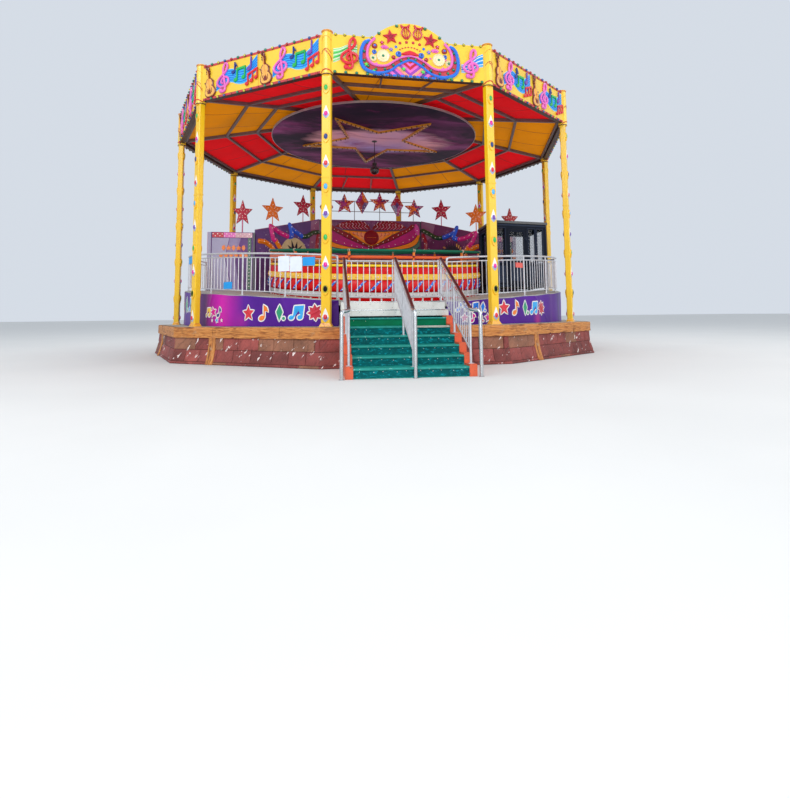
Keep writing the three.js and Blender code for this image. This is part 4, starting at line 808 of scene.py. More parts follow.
# The front panel: two clefs on ribbons and, under the arch, a wide cartouche with a central hump.
p = Part("fascia_cartouche", at=frame_at(polar(COLUMN_R * FACE + .06, FRONT, (FASCIA_LOW + FASCIA_HIGH) / 2), FRONT))
staff(p, [(-1.78, -.06, .15), (-1.62, 0, .13), (-1.48, .09, .11), (-1.36, .14, .1), (-1.24, .145, .09)], mint,
      [white_gloss, green, white_gloss, green, white_gloss], white_gloss)
staff(p, [(1.24, -.14, .09), (1.38, -.12, .1), (1.5, -.05, .11), (1.64, .05, .13), (1.78, .1, .15)], sky_blue,
      [white_gloss, blue, white_gloss, blue, white_gloss], white_gloss)
clef(p, -1.4, 0, .76, red, .02, .033)
clef(p, 1.48, -.02, .72, pink, .02, .032)
OUTER = [(-.95, .36), (-1.08, .28), (-1.15, .06), (-1.15, -.16), (-1.08, -.31), (-.91, -.39), (-.71, -.4),
         (-.48, -.33), (-.31, -.2), (-.13, -.09), (0, -.045)]
INNER = [(-.83, .42), (-.965, .25), (-1.01, .06), (-.98, -.11), (-.88, -.2), (-.71, -.235), (-.53, -.2),
         (-.37, -.085), (-.19, .01), (0, .05)]
OUTER += [(-x, y) for x, y in reversed(OUTER[:-1])]
INNER += [(-x, y) for x, y in reversed(INNER[:-1])]
outer_line = smooth_path([(x, y, .03) for x, y in OUTER], 4)
inner_line = smooth_path([(x, y, .04) for x, y in INNER], 4)
p.tube(outer_line, [.026 + .017 * min(1, (v.x / .95) ** 2) for v in outer_line], blue, 8)
p.tube(inner_line, [.022 + .01 * min(1, (v.x / .8) ** 2) for v in inner_line], pink, 8)
n = 72


def along(line, t):
    i = min(int(t * (len(line) - 1)), len(line) - 2)
    return line[i].lerp(line[i + 1], t * (len(line) - 1) - i)


va, vb = [along(outer_line, i / n) for i in range(n + 1)], [along(inner_line, i / n) for i in range(n + 1)]
verts = [v for i in range(n + 1) for v in ((va[i].x, va[i].y, 0), (va[i].x, va[i].y, .022),
                                           (vb[i].x, vb[i].y, .022), (vb[i].x, vb[i].y, 0))]
p.add(verts, quads(n + 1, 4, flip=True), coral)
bulbs(p, [tuple(((va[i] + vb[i]) / 2).xy) for i in range(3, n - 1, 4)], [teal], .032, .034)
# The fan of nested chevrons under the hump.
FAN = [red, pink, crimson, pink, violet, salmon, pink, purple, pink, coral, salmon, blue_soft, pink, violet, blue_soft]


def fan_top(x):
    return -.075 - .6 * max(0, abs(x) - .04) ** 1.4


for i, mat in enumerate(FAN):
    x0, x1 = .062 * i, .062 * (i + 1)
    for s in (-1, 1):
        y0, y1 = fan_top(x0), fan_top(x1)
        b0, b1 = max(y0 - .84 * x0, -.43), max(y1 - .84 * x1, -.43)
        e0, e1 = max(0.0, x0 - (y0 - b0) / .84), max(0.0, x1 - (y1 - b1) / .84)
        quad = [(s * x0, y0), (s * x1, y1), (s * e1, b1)]
        if (e0, b0) != (x0, y0) and abs(e0 - e1) + abs(b0 - b1) > 1e-4:
            quad.append((s * e0, b0))
        if e0 <= 0 and e1 > 0:
            quad.append((0, b0))
            quad = [q for j, q in enumerate(quad) if q != quad[j - 1]]
        if y1 > -.42:
            p.prism(quad, 0, .012 + .005 * (i % 3), mat)
for i in range(10):
    x = -.84 + 1.68 * i / 9
    if i < 9:
        m = x + .093
        p.prism([(m - .05, -.452), (m + .05, -.452), (m + .03 + .02 * (m < 0), -.405),
                 (m - .03 - .02 * (m > 0), -.405)], 0, .024, blue)
bulbs(p, [(-.84 + 1.68 * i / 9, -.436) for i in range(10)], [BULBS[3]], .033, .03)
for x, y in ((-.86, -.37), (-.16, -.27), (.3, -.31), (.95, -.39), (-1.03, -.22)):
    p.prism(star_points(x, y, .06, .45, 100), .03, .055, leaf, crown=.01)
p.prism([(-.24, .09), (-.1, .17), (0, .2), (.1, .17), (.24, .09), (.1, .08), (-.1, .08)], 0, .03, red, crown=.01)
for x, y, r in ((-.635, .02, .15), (.69, .02, .15), (-.87, -.045, .082), (.93, -.05, .082)):
    T = moved(x, y, 0)
    p.lathe([(r, 0), (r, .02), (r * .9, .035), (r * .78, .02), (r * .55, .012), (r * .5, .026), (r * .2, .03),
             (0, .03)],
            cream, 28, T)
    for i in range(18):
        q = 2 * pi * i / 18
        p.ball((r * .94 * cos(q), r * .94 * sin(q), .028), r * .09, cream, T, 6)
    dome(p, 0, 0, .034, teal, T @ moved(0, 0, .026), .9, 10)
for s in (-1, 1):
    for x, y, r, mat, cap in ((.83, .25, .068, dark_red, blue), (.84, .11, .056, blue, navy),
                              (.27, .1, .072, blue, navy), (.39, .01, .052, dark_red, red),
                              (.86, .035, .026, pink, pink), (.49, .05, .026, pink, pink), (.79, -.17, .03, pink, pink),
                              (.33, .27, .034, blue, navy)):
        dome(p, s * x, y, r, mat, moved(0, 0, .002), .7, 14)
        dome(p, s * x, y, r * .45, cap, moved(0, 0, r * .55), .6, 10)
    for x, y, r, mat in ((.66, .34, .06, crimson), (.45, .19, .06, blue_soft)):
        p.prism(star_points(s * x, y, r, .45, 95), 0, .028, mat, crown=.008)
        dome(p, s * x, y, r * .3, pink, moved(0, 0, .026), .6, 8)
    for i in range(5):
        q = rad(30 + 30 * i)
        p.prism(ellipse(s * .6 + .06 * cos(q), .2 + .045 * sin(q), .05, .022, math.degrees(q), 10), 0, .03, pink,
                crown=.008)
    for x, y in ((.235, .37), (.08, .4)):
        dome(p, s * x, y, .036, crimson, None, .8, 12)
    for i in range(4):
        q = rad(90 - s * (6 + 11 * i))
        p.prism(ellipse(.34 * cos(q) * 1.1, -.03 + .31 * sin(q), .024, .014, 0, 8), 0, .012, coral)
# The crest: two stars and two lyres of raised crimson bands.
for x, y, r, turn in ((-.46, .49, .185, 100), (.49, .48, .185, 80)):
    p.prism(star_points(x, y, r, .46, turn), 0, .04, crimson, crown=.012)
    p.prism(star_points(x, y, r * .45, .46, turn), .04, .05, dark_red, crown=.006)
for x, y, turn in ((-.1, .66, 6), (.19, .655, -8)):
    T = spin(x, y, 0, turn)
    for s in (-1, 1):
        p.tube(smooth_path([(0, -.17, .02), (s * .07, -.13, .02), (s * .1, -.04, .02), (s * .06, .05, .02),
                            (s * .07, .12, .02), (s * .11, .15, .02)], 4), .02, crimson, 6, T=T)
        p.tube([(s * .025, -.13, .02), (s * .025, .1, .02)], .009, crimson, 5, T=T)
    p.prism([(-.1, .08), (.1, .08), (.1, .115), (-.1, .115)], 0, .036, crimson, T, crown=.006)
    p.prism([(-.05, -.19), (.05, -.19), (.03, -.14), (-.03, -.14)], 0, .036, crimson, T, crown=.006)
for s in (-1, 1):
    bulbs(p, [(s * (.89 + .21 * i), .45) for i in range(5)], [BULBS[2]], .03, .02)
    bulbs(p, [(s * (1 + .248 * i), -.436) for i in range(4)], [teal], .032, .02)
bulbs(p, [(-.73, .56), (-.31, .775), (.37, .765), (.72, .57)], [teal], .034, .02)
p.done("fascia_yellow")

# ---------------------------------------------------------------- canopy
EDGE = COLUMN_R * FACE - .0603


def under(apothem):
    return 6.592 + .2 * (COLUMN_R * FACE - apothem)


def beam(apothem, angle):
    return polar(apothem / FACE, angle, under(apothem) + .059)


steelwork = Part("canopy_frame")
for k in range(10):
    a = column_angle(k)
    steelwork.bar(beam(EDGE - .12, a), beam(.2, a), .09, .09, frame_steel)
    for q in (EDGE - .06, 4.6, 3.7):
        steelwork.bar(beam(q, a), beam(q, a + SIDE), .072, .072, frame_steel)
    for q in (4.6, 3.7):
        c = beam(q, a)
        steelwork.box((c.x - .07, c.y - .07, c.z + .022), (c.x + .07, c.y + .07, c.z + .03), frame_steel)
    if k % 5 == 0:  # a pair of light braces in the front and the rear bay
        for t in (.33, .67):
            lo = beam(EDGE - .06, a).lerp(beam(EDGE - .06, a + SIDE), t)
            hi = beam(4.6, a).lerp(beam(4.6, a + SIDE), t)
            steelwork.bar(lo - Vector((0, 0, .03)), hi - Vector((0, 0, .03)), .04, .04, frame_steel)
steelwork.lathe([(.26, under(0)), (.26, under(0) + .1), (0, under(0) + .1), (0, under(0))], frame_steel, 20,
                closed=True)
steelwork.done("galvanised", ["roof_front", "roof_rear"])


def canopy_point(k, q, t):
    """A point of the stretched cover: it sags a little between the beams."""
    v = polar(q / FACE, column_angle(k)).lerp(polar(q / FACE, column_angle(k) + SIDE), t)
    lo = max([s for s in (0, 3.7, 4.6) if s <= q])
    hi = min([s for s in (3.7, 4.6, EDGE) if s >= q])
    bay = (q - lo) / max(hi - lo, .01)
    sag = .035 * (hi - lo) * sin(pi * bay) * sin(pi * t) ** .7
    ripple = .004 * noise.noise(Vector((v.x * 2.2, v.y * 2.2, k))) * sin(pi * t)
    return Vector((v.x, v.y, under(q) + .112 - sag + ripple))


for k in range(10):
    gore = Part("canopy_gore_%02d" % (k + 1))
    rows, cols = 30, 16
    verts = [canopy_point(k, EDGE * (1 - j / rows), i / cols) for j in range(rows + 1) for i in range(cols + 1)]
    gore.add(verts, quads(rows + 1, cols + 1), canvas[k % 2], smooth=True)
    g = gore.done("canvas")
    length = EDGE * math.hypot(1, .2)
    base = 2 * EDGE * math.tan(rad(18))

# The welded seams between the cover's widths of cloth, the same above and below.
p = Part("canopy_seams")
for k in range(10):
    for d in (-.62, .62):
        reach = [EDGE - .01 - (EDGE - 2.1) * j / 24 for j in range(25)]
        verts = []
        for q in reach:
            for side in (-.014, .014):
                v = canopy_point(k, q, .5 + (d + side) / (2 * q * math.tan(rad(18))))
                verts += [v - Vector((0, 0, .0022)), v + Vector((0, 0, .0022))]
        p.add(verts, [(4 * j + m, 4 * j + 4 + m, 4 * j + 4 + e, 4 * j + e) for j in range(24)
                      for m, e in ((0, 2), (2, 3), (3, 1), (1, 0))] + [(0, 1, 3, 2), (96, 98, 99, 97)], seams[k % 2])
p.done("canvas")

# ---------------------------------------------------------------- ceiling disc, star and lamp
DISC = PLINTH + 6.13
p = Part("ceiling_sky")
p.lathe([(0, DISC), (1.7, DISC), (3.395, DISC), (3.395, DISC + .05), (0, DISC + .05)], sky, 96, smooth=False)
p.lathe([(3.396, DISC - .004), (3.41, DISC - .004), (3.41, DISC + .06), (3.396, DISC + .06)], rim_metal, 96,
        closed=True, smooth=False)
for k in range(10):
    a = column_angle(k)
    p.tube([polar(3, a, DISC + .04), polar(3, a, under(3 * FACE) + .03)], .018, frame_steel, 8)
    for q in (3, 1.5):
        p.bar(polar(q, a, DISC + .075), polar(q, a + SIDE, DISC + .075), .04, .05, frame_steel)
    p.bar(polar(.1, a, DISC + .075), polar(3.35, a, DISC + .075), .04, .05, frame_steel)
p.done("night", ["ceiling_disc"])
p = Part("ceiling_star_lamps")
corners = [polar(2.49 if i % 2 == 0 else .985, -54 + 36 * i) for i in range(10)]
for i in range(10):
    a, b = corners[i], corners[(i + 1) % 10]
    for j in range(10):
        v = a.lerp(b, (j + .5) / 10)
        p.ball((v.x, v.y, DISC - .062), .03, lamp_brown, None, 8)
p.done("lamp")
p = Part("mirror_lamp")
Z = PLINTH + 5.124
p.tube([(0, 0, Z + .2), (0, 0, DISC)], .012, black, 8)
p.lathe([(0, Z + .13), (.05, Z + .135), (.075, Z + .16), (.078, Z + .24), (.05, Z + .26), (0, Z + .262)], black, 20)
p.ball((0, 0, Z), .156, black, None, 24)
for j in range(1, 9):
    t = pi * j / 9
    count = max(6, int(18 * sin(t)))
    for i in range(count):
        q = 2 * pi * (i + .5 * (j % 2)) / count
        p.ball((.152 * sin(t) * cos(q), .152 * sin(t) * sin(q), Z + .152 * cos(t)), .012, bright, None, 5)
p.lathe([(0, DISC - .001), (.09, DISC - .001), (.09, DISC - .02), (0, DISC - .03)], black, 24)
p.done("black", ["pendant_lamp"])

# ---------------------------------------------------------------- plinth: blocks, timber band and posts
rng = random.Random(7)
CORNER = 6.7
BATTER = [(0, .12), (.11, .072), (.24, .036), (.38, .012), (.52, 0), (.9, 0)]


def plinth_r(z):
    """The plinth's side, which curves out towards its foot."""
    for (z0, r0), (z1, r1) in zip(BATTER, BATTER[1:]):
        if z <= z1:
            return CORNER + r0 + (r1 - r0) * (z - z0) / (z1 - z0)
    return CORNER


core = Part("plinth_core")
core.lathe([(0, 0)] + [(plinth_r(z) - .022, z) for z in (0, .11, .24, .38, .52)] + [(CORNER - .022, .835), (0, .835)],
           mortar, 10, about_z(FIRST), smooth=False)
core.lathe([(0, .8352), (CORNER - .01, .8352), (CORNER - .01, .85), (0, .85)], concrete, 10,
           about_z(FIRST), smooth=False)
core.done("masonry", ["plinth"])
blocks = Part("plinth_blocks")
for k in range(10):
    a = panel_angle(k)
    for course, (low, high) in enumerate(((.003, .06), (.06, .335), (.335, .607))):
        half = CORNER * sin(rad(18))
        x, cuts = -half + (.23, 0, .26)[course], [-half]
        while x < half - .6:
            x += rng.uniform(.4, .6)
            cuts.append(x)
        cuts.append(half)
        for x0, x1 in zip(cuts, cuts[1:]):
            gap, cols, rows = .0055, 7, (2 if course == 0 else 5)
            seed = Vector((rng.uniform(0, 50), rng.uniform(0, 50), 0))
            slant = rng.uniform(-.006, .006)
            verts = []
            for j in range(rows + 1):
                z = low + gap + (high - low - 2 * gap) * j / rows
                grow = plinth_r(z) / CORNER
                for i in range(cols + 1):
                    u = i / cols - .5
                    x = (x0 + gap + (x1 - x0 - 2 * gap) * i / cols) * grow
                    rim = i in (0, cols) or j in (0, rows)
                    dent = noise.noise(Vector((x * 5 + z * 5, (x - z) * 9, k)) + seed)
                    lift = -.012 if rim else .016 * dent + .004 + slant * u * 2
                    verts.append((plinth_r(z) * FACE + lift, x, z))
            faces, rim, base = quads(rows + 1, cols + 1), rim_of(cols, rows), len(verts)
            verts += [(verts[i][0] - .03, verts[i][1], verts[i][2]) for i in rim]
            m = len(rim)
            faces += [(rim[i], base + i, base + (i + 1) % m, rim[(i + 1) % m]) for i in range(m)]
            blocks.add(verts, faces, rng.choice([stone, stone, stone_dark, stone_light, stone, stone_tan]),
                       about_z(a), True)
blocks.done("masonry")
wood = Part("timber_band")
for k in range(10):
    a = panel_angle(k)
    T = about_z(a)
    half = (CORNER + .035) * sin(rad(18))
    place = (.29 - .5) * 2 * half
    cuts = [-half, place + .02, half * .5, half] if k % 2 else [-half, place + .02, half * .72, half]
    for x0, x1 in zip(cuts, cuts[1:]):
        cols = max(6, int((x1 - x0) / .16))
        verts = []
        seed = rng.uniform(0, 40)
        section = [(-.03, .6015), (0, .602), (0, .63), (0, .68), (-.004, .72), (.001, .728), (.001, .78), (0, .828),
                   (-.006, .845), (-.03, .85), (-.09, .85)]
        for i in range(cols + 1):
            x = x0 + .003 + (x1 - x0 - .006) * i / cols
            for out, z in section:
                knot = .007 * noise.noise(Vector((x * 3 + seed, z * 12, k)))
                edge = -.012 if i in (0, cols) else 0
                low = .006 * noise.noise(Vector((x * 5 + seed, 3, k))) + .003 if z < .61 else 0
                verts.append(((CORNER + .035) * FACE + out + knot + edge, x, z + low))
        wood.add(verts, quads(cols + 1, len(section), flip=True), timber, T, True, uv=lambda v: (v.y, v.z))
    if k:
        verts = []
        section = [(-.05, -.106), (.012, -.104), (.024, -.09), (.026, -.03), (.024, 0), (.026, .04), (.024, .09),
                   (.012, .104), (-.05, .106)]
        for j in range(13):
            z = .006 + (.615 - .006) * j / 12
            for out, x in section:
                knot = .007 * noise.noise(Vector((x * 14, z * 3.5, k * 3.7))) - .002
                side = .01 * noise.noise(Vector((1.7 * (1 if x > 0 else -1), z * 4.5, k * 2.1)))
                verts.append((plinth_r(z) * FACE + out + knot, place + x + side, z))
        w = len(section)
        wood.add(verts, quads(13, w) + [tuple(range(w - 1, -1, -1)), tuple(range(12 * w, 13 * w))], timber, T, True,
                 uv=lambda v: (v.z, v.y))
wood.done("timber", ["plinth_timber_band"])

# ---------------------------------------------------------------- stair
MIDDLE = .05
p = Part("stair_treads", at=STAIR)
RISE, TREAD = (PLINTH + .182) / 6, .36
for i in range(1, 7):
    y, z = -TREAD * (8 - i), RISE * i
    for x0, x1 in ((-1.028, MIDDLE - .001), (MIDDLE + .001, 1.028)):
        deep = .352
        pts = [(-.014, -.032), (-.022, -.02), (-.022, -.006), (-.012, .004), (.02, .006), (deep, .004), (deep, 0)]
        cols = 22
        verts = []
        for c in range(cols + 1):
            x = x0 + (x1 - x0) * c / cols
            for dy, dz in pts:
                wob = .004 * noise.noise(Vector((x * 6, i * 3.1, dy * 5)))
                verts.append((x, y + dy + wob, z + dz + wob * .5))
        p.add(verts, quads(cols + 1, len(pts), flip=True), stair_green)
        p.tube([(x0 + (x1 - x0) * c / 12, y - .014 + .003 * sin(c * 2.1 + i), z - .012) for c in range(13)], .0185,
               stair_edge, 8)
        # The riser's darker green is painted shade on its upright face.
        p.box((x0, y - .004, z - RISE + .012), (x1, y - .0005, z - .034), stair_riser_shaded if i < 6 else stair_top)
        for c in range(5 if i < 5 else 2):
            # Screw heads and small chips along the riser.
            dome(p, x0 + (x1 - x0) * (.12 + .19 * c + .02 * sin(i * 5 + c * 3)), 0, .006, white_gloss,
                 moved(0, y - .004, z - .05 - .012 * (c % 2)) @ TO_FRONT, .4, 8)
# A nosing on the right that is scraped down to its cement.
y, z, verts = -TREAD * 3, RISE * 5, []
for c in range(41):
    x, t = .08 + .93 * c / 40, c / 40
    grow = .55 + .45 * noise.noise(Vector((x * 9, 2.3, 0))) + .5 * t
    verts += [(x, y - .036, z - .012 - .016 * grow), (x, y - .039, z - .004), (x, y - .03, z + .0085),
              (x, y + .01 + .05 * max(0, grow), z + .0095)]
p.add(verts, quads(41, 4, flip=True), scraped)
p.done("stair_green")
p = Part("deck_step_edges", at=STAIR)
for y, z in ((-.36, 1.21), (0, DECK_Z)):
    p.tube([(-1.165, y - .004, z - .008), (1.165, y - .004, z - .008)], .011, bright, 8)
    for i in range(9):
        x = -1.05 + .2625 * i
        p.lathe([(.011, 0), (.011, .003), (.006, .006), (0, .006)], bright, 8, moved(x, y - .001, z - .06) @ TO_FRONT)
for y, z0, z1, depth in ((-.359, 1.075, 1.21, .34), (0, 1.213, DECK_Z, .36)):
    for i in range(8):
        x = -1.11 + .2775 * i
        p.box((x, y - .0015, z0 + .01), (x + .262, y - .0002, z1 - .03), step_white)
    for i in range(6):
        q = y + .03 + depth * i / 6
        p.box((-1.15, q, z1), (1.15, q + .012, z1 + .0025), bright)
p.done("plate")


# ---------------------------------------------------------------- tubes: handrails, railing, gates
def rail_z(y):
    return DECK_Z + .95 + RISE / TREAD * min(0, y)


def stair_z(y, outer):
    if y > 0:
        return DECK_Z
    if y > -TREAD:
        return 1.21
    return RISE * math.ceil((y + TREAD * 7) / TREAD) + (.04 if outer else 0)


LOW_Y, HIGH_Y = -2.41, .09
for name, x, out in (("handrail_left", -1.1, -1), ("handrail_centre", MIDDLE, 0), ("handrail_right", 1.1, 1)):
    p = Part(name + "_tubes", at=STAIR)
    reach = out * .13
    low = rail_z(LOW_Y)
    bend = [(x, LOW_Y + .15, rail_z(LOW_Y + .15)), (x, LOW_Y, low), (x + reach * .4, LOW_Y - .1, low - .022),
            (x + reach * .85, LOW_Y - .165, low - .035), (x + reach, LOW_Y - .19, low - .085),
            (x + reach, LOW_Y - .19, low - .2)]
    lower = smooth_path(bend, 5) + [Vector((x + reach, LOW_Y - .19, .012))]
    p.tube(lower, .034, bright, 14)
    p.lathe([(.05, 0), (.05, .006), (.03, .012)], bright, 14, moved(x + reach, LOW_Y - .19, .0005))
    p.tube([(x, LOW_Y - .02, rail_z(LOW_Y) - .01), (x, HIGH_Y, rail_z(0) + .005)], .024, steel, 10)
    cap = [(x, y, rail_z(y) + .018) for y in (LOW_Y + .02, LOW_Y + .05, -1.2, -.6, -.02, .06)]
    p.tube(cap, .031, maroon, 10)
    p.tube([(x, LOW_Y, low - .11), (x, HIGH_Y, rail_z(0) - .11)], .015, steel, 8)
    p.tube([(x, LOW_Y + .03, rail_z(LOW_Y + .03) - .76), (x, HIGH_Y, rail_z(0) - .76)], .015, steel, 8)
    for y in (LOW_Y + .03, -1.17, HIGH_Y - .027):
        z = stair_z(y, out)
        p.tube([(x, y, z + .001), (x, y, rail_z(y))], .022, steel, 10)
        p.box((x - .05, y - .05, z + .0006), (x + .05, y + .05, z + .008), steel)
    n = 17
    for i in range(1, n):
        y = LOW_Y + .03 + (HIGH_Y - LOW_Y - .06) * i / n
        if min(abs(y - q) for q in (-1.17, HIGH_Y - .027)) > .05:
            p.tube([(x, y, rail_z(y) - .76), (x, y, rail_z(y) - .11)], .011, steel, 6)
    if out:
        for z in (DECK_Z + .2, DECK_Z + .78):
            p.tube([(out * 1.07, .09, z - .04), (out * 1.07, .09, z - .002)], .016, steel, 10)
            p.bar((out * 1.07, .09, z - .02), (x, .09, z - .02), .014, .03, steel)
    p.done("galvanised", [name])

RAIL_R = 5.79
FREE_LEFT, FREE_RIGHT = (FRONT - 179.8, FRONT - 16.35), (FRONT + 8.3, FRONT + 179.8)
for name, (start, end) in (("railing_left", FREE_LEFT), ("railing_right", FREE_RIGHT)):
    p = Part(name + "_tubes")
    spots = [start + (end - start) * i / 164 for i in range(165)]
    for height, r, n in ((1.01, .023, 10), (.91, .015, 8), (.11, .015, 8)):
        path = [polar(ring_r(RAIL_R, a), a, deck_z(a) + height) for a in (spots if r < .02 else spots[1:-1])]
        if r > .02:
            # The top rail bends down into the last post beside the stair.
            s, free = (-1, end) if name == "railing_left" else (1, start)
            bend = [polar(ring_r(RAIL_R, free), free + s * q, deck_z(free) + h)
                    for q, h in ((.95, 1.01), (.55, .995), (.32, .95), (.25, .86), (.25, .004))]
            path = path[:-1] + smooth_path(bend, 4) if s < 0 else smooth_path(bend, 4)[::-1] + path[1:]
        p.tube(path, r, steel, n)
    pitch = math.degrees(1.24 / RAIL_R)
    posts = round((end - start) / pitch)
    per = 9
    for i in range(posts * per + 1):
        a = start + .25 + (end - start - .5) * i / (posts * per)
        foot, r = deck_z(a), ring_r(RAIL_R, a)
        if i % per == 0:
            p.tube([polar(r, a, foot + .001), polar(r, a, foot + 1)], .021, steel, 10)
            p.lathe([(.055, 0), (.055, .008), (.024, .012)], steel, 12,
                    Matrix.Translation(polar(r - .005, a, foot + .0006)))
        else:
            p.tube([polar(r, a, foot + .11), polar(r, a, foot + .91)], .0105, steel, 6)
    p.done("galvanised", [name])

for name, side in (("gate_left", -1), ("gate_right", 1)):
    p = Part(name + "_leaf", "left_gate" if side < 0 else "right_gate", at=STAIR)
    near, far, y = MIDDLE + side * .037, side * 1.063, .06
    low, high = DECK_Z + .11, DECK_Z + .905
    for z, r in ((high, .02), (low, .017)):
        p.tube([(near, y, z), (far, y, z)], r, steel, 10)
    for x in (near + side * .017, far - side * .017):
        p.tube([(x, y, low - .03), (x, y, high + .02)], .017, steel, 10)
        p.ball((x, y, high + .022), .018, steel, None, 8)
    for i in range(1, 8):
        x = near + (far - near) * i / 8
        p.tube([(x, y, low), (x, y, high)], .0105, steel, 6)
    for z in (DECK_Z + .2, DECK_Z + .78):
        p.tube([(side * 1.07, .09, z + .002), (side * 1.07, .09, z + .04)], .016, steel, 10)
        p.bar((side * 1.068, .086, z + .02), (far - side * .02, y + .004, z + .02), .012, .03, steel)
    p.box((near + side * .03, y + .012, DECK_Z + .555), (near + side * .15, y + .018, DECK_Z + .6), steel)
    p.tube([(near + side * .025, y + .024, DECK_Z + .578), (near + side * .155, y + .024, DECK_Z + .578)], .007, steel,
           8)
    p.done("galvanised", [name])

# Blank boards that hang on the railing.
p = Part("railing_boards")
for a, drop, w, h, mat in ((-119.4, .03, .3, .355, board_white), (-116.3, .03, .3, .35, board_white),
                           (-113.2, .035, .3, .2, board_blue), (-136.5, .675, .32, .17, board_blue),
                           (-59.4, .14, .29, .125, board_red), (-160.4, 0, .5, .2, board_blue)):
    spot = polar(ring_r(RAIL_R, a) + .03, a, deck_z(a) + .98 - drop - h)
    p.at = frame_at(spot, a)
    n = 8
    verts = [(-w / 2 + w * i / n, h * j, .004 * sin(3 * i / n + a) + lift) for lift in (0, .004) for j in (0, 1)
             for i in range(n + 1)]
    m = n + 1
    faces = [(i, m + i, m + i + 1, i + 1) for i in range(n)]
    faces += [(2 * m + i, 2 * m + i + 1, 3 * m + i + 1, 3 * m + i) for i in range(n)]
    faces += [(i, i + 1, 2 * m + i + 1, 2 * m + i) for i in range(n)]
    faces += [(m + i, 3 * m + i, 3 * m + i + 1, m + i + 1) for i in range(n)]
    faces += [(0, 2 * m, 3 * m, m), (n, m + n, 3 * m + n, 2 * m + n)]
    p.add(verts, faces, mat)
    for s in (-1, 1):
        p.tube([(s * (w / 2 - .03), h - .02, .008), (s * (w / 2 - .03), h + .02, -.012)], .004, black, 5)
p.done("galvanised")

# ---------------------------------------------------------------- skirt banners
SKIRT_R, VINYL_R, PRINT_R = 5.87, 5.874, 5.884
CREASES = [(-107.3, -.5, .008), (-107.5, -1.1, .008), (-107.8, -1.9, .007), (-108.4, -2.9, .006), (-119, .5, .006),
           (-131, 1.4, .006), (-143, -.4, .007), (-80.5, .6, .006), (-69, 1.6, .006), (-52, 1.2, .007),
           (-30, -.8, .006)]


def banner_point(a, z, out=0):
    """A point of the hung vinyl: it hangs in shallow folds between its ties."""
    wave = .006 * sin(rad(a) * SKIRT_R * 9) * (.4 + .6 * (z - PLINTH)) + .004 * sin(rad(a) * SKIRT_R * 3.1 + z * 7)
    for tie, reach, size in CREASES:
        # Creases run down and sideways from the corners, where the vinyl is tied.
        q = (rad(a - tie) * SKIRT_R - reach * (1.36 - z)) / .034
        wave += 1.9 * size * math.exp(-q * q) * max(0, min(1, (z - .88) / .1))
    return polar(ring_r(VINYL_R, a) + .011 + wave * .8 + out, a, z)


for name, start, end in (("skirt_left", FRONT - 179.97, FRONT - 16.1), ("skirt_right", FRONT + 7.95, FRONT + 179.97)):
    p = Part(name + "_vinyl")
    n, rows = 760, 22
    verts = []
    for i in range(n + 1):
        a = start + (end - start) * i / n
        top = deck_z(a) - .012 - .012 * abs(sin(rad(a) * SKIRT_R * pi / 1.2)) ** 2
        verts += [banner_point(a, PLINTH + .006 + (top - PLINTH - .006) * j / rows) for j in range(rows + 1)]
    p.add(verts, quads(n + 1, rows + 1, flip=True), banner_back, smooth=True)
    g = p.done("banner", [name])
    width = rad(end - start) * PRINT_R


def banner_print(p, outline, a, z, mat, edge):
    """A printed shape on the vinyl, drawn from its outline in to its middle, in a pale border."""
    n = len(outline)
    if sum(x0 * y1 - x1 * y0 for (x0, y0), (x1, y1) in zip(outline, outline[1:] + outline[:1])) < 0:
        outline = outline[::-1]
    cx, cy = sum(x for x, y in outline) / n, sum(y for x, y in outline) / n

    def laid(points, lift):
        return [banner_point(a + math.degrees(x / PRINT_R), z + y, lift) for x, y in points]

    if edge:
        wide = []
        for i, (x, y) in enumerate(outline):
            (x0, y0), (x1, y1) = outline[i - 1], outline[(i + 1) % n]
            out = Vector((y1 - y0, x0 - x1)).normalized() * .027
            wide.append((x + out.x, y + out.y))
        p.add(laid(wide, .004) + laid(outline, .0045), quads(2, n, True), edge)
    scales = (1, .85, .7, .55, .4, .25, .1)
    rings = [v for q in scales for v in laid([(cx + (x - cx) * q, cy + (y - cy) * q) for x, y in outline], .0065)]
    top = (len(scales) - 1) * n
    p.add(rings + laid([(cx, cy)], .0065),
          quads(len(scales), n, True) + [(top + i, top + (i + 1) % n, top + n) for i in range(n)], mat)


def dense(outline):
    """The outline with points at most about 3 cm apart."""
    out = []
    for (x0, y0), (x1, y1) in zip(outline, outline[1:] + outline[:1]):
        n = max(1, int(math.hypot(x1 - x0, y1 - y0) / .03))
        out += [(x0 + (x1 - x0) * i / n, y0 + (y1 - y0) * i / n) for i in range(n)]
    return out


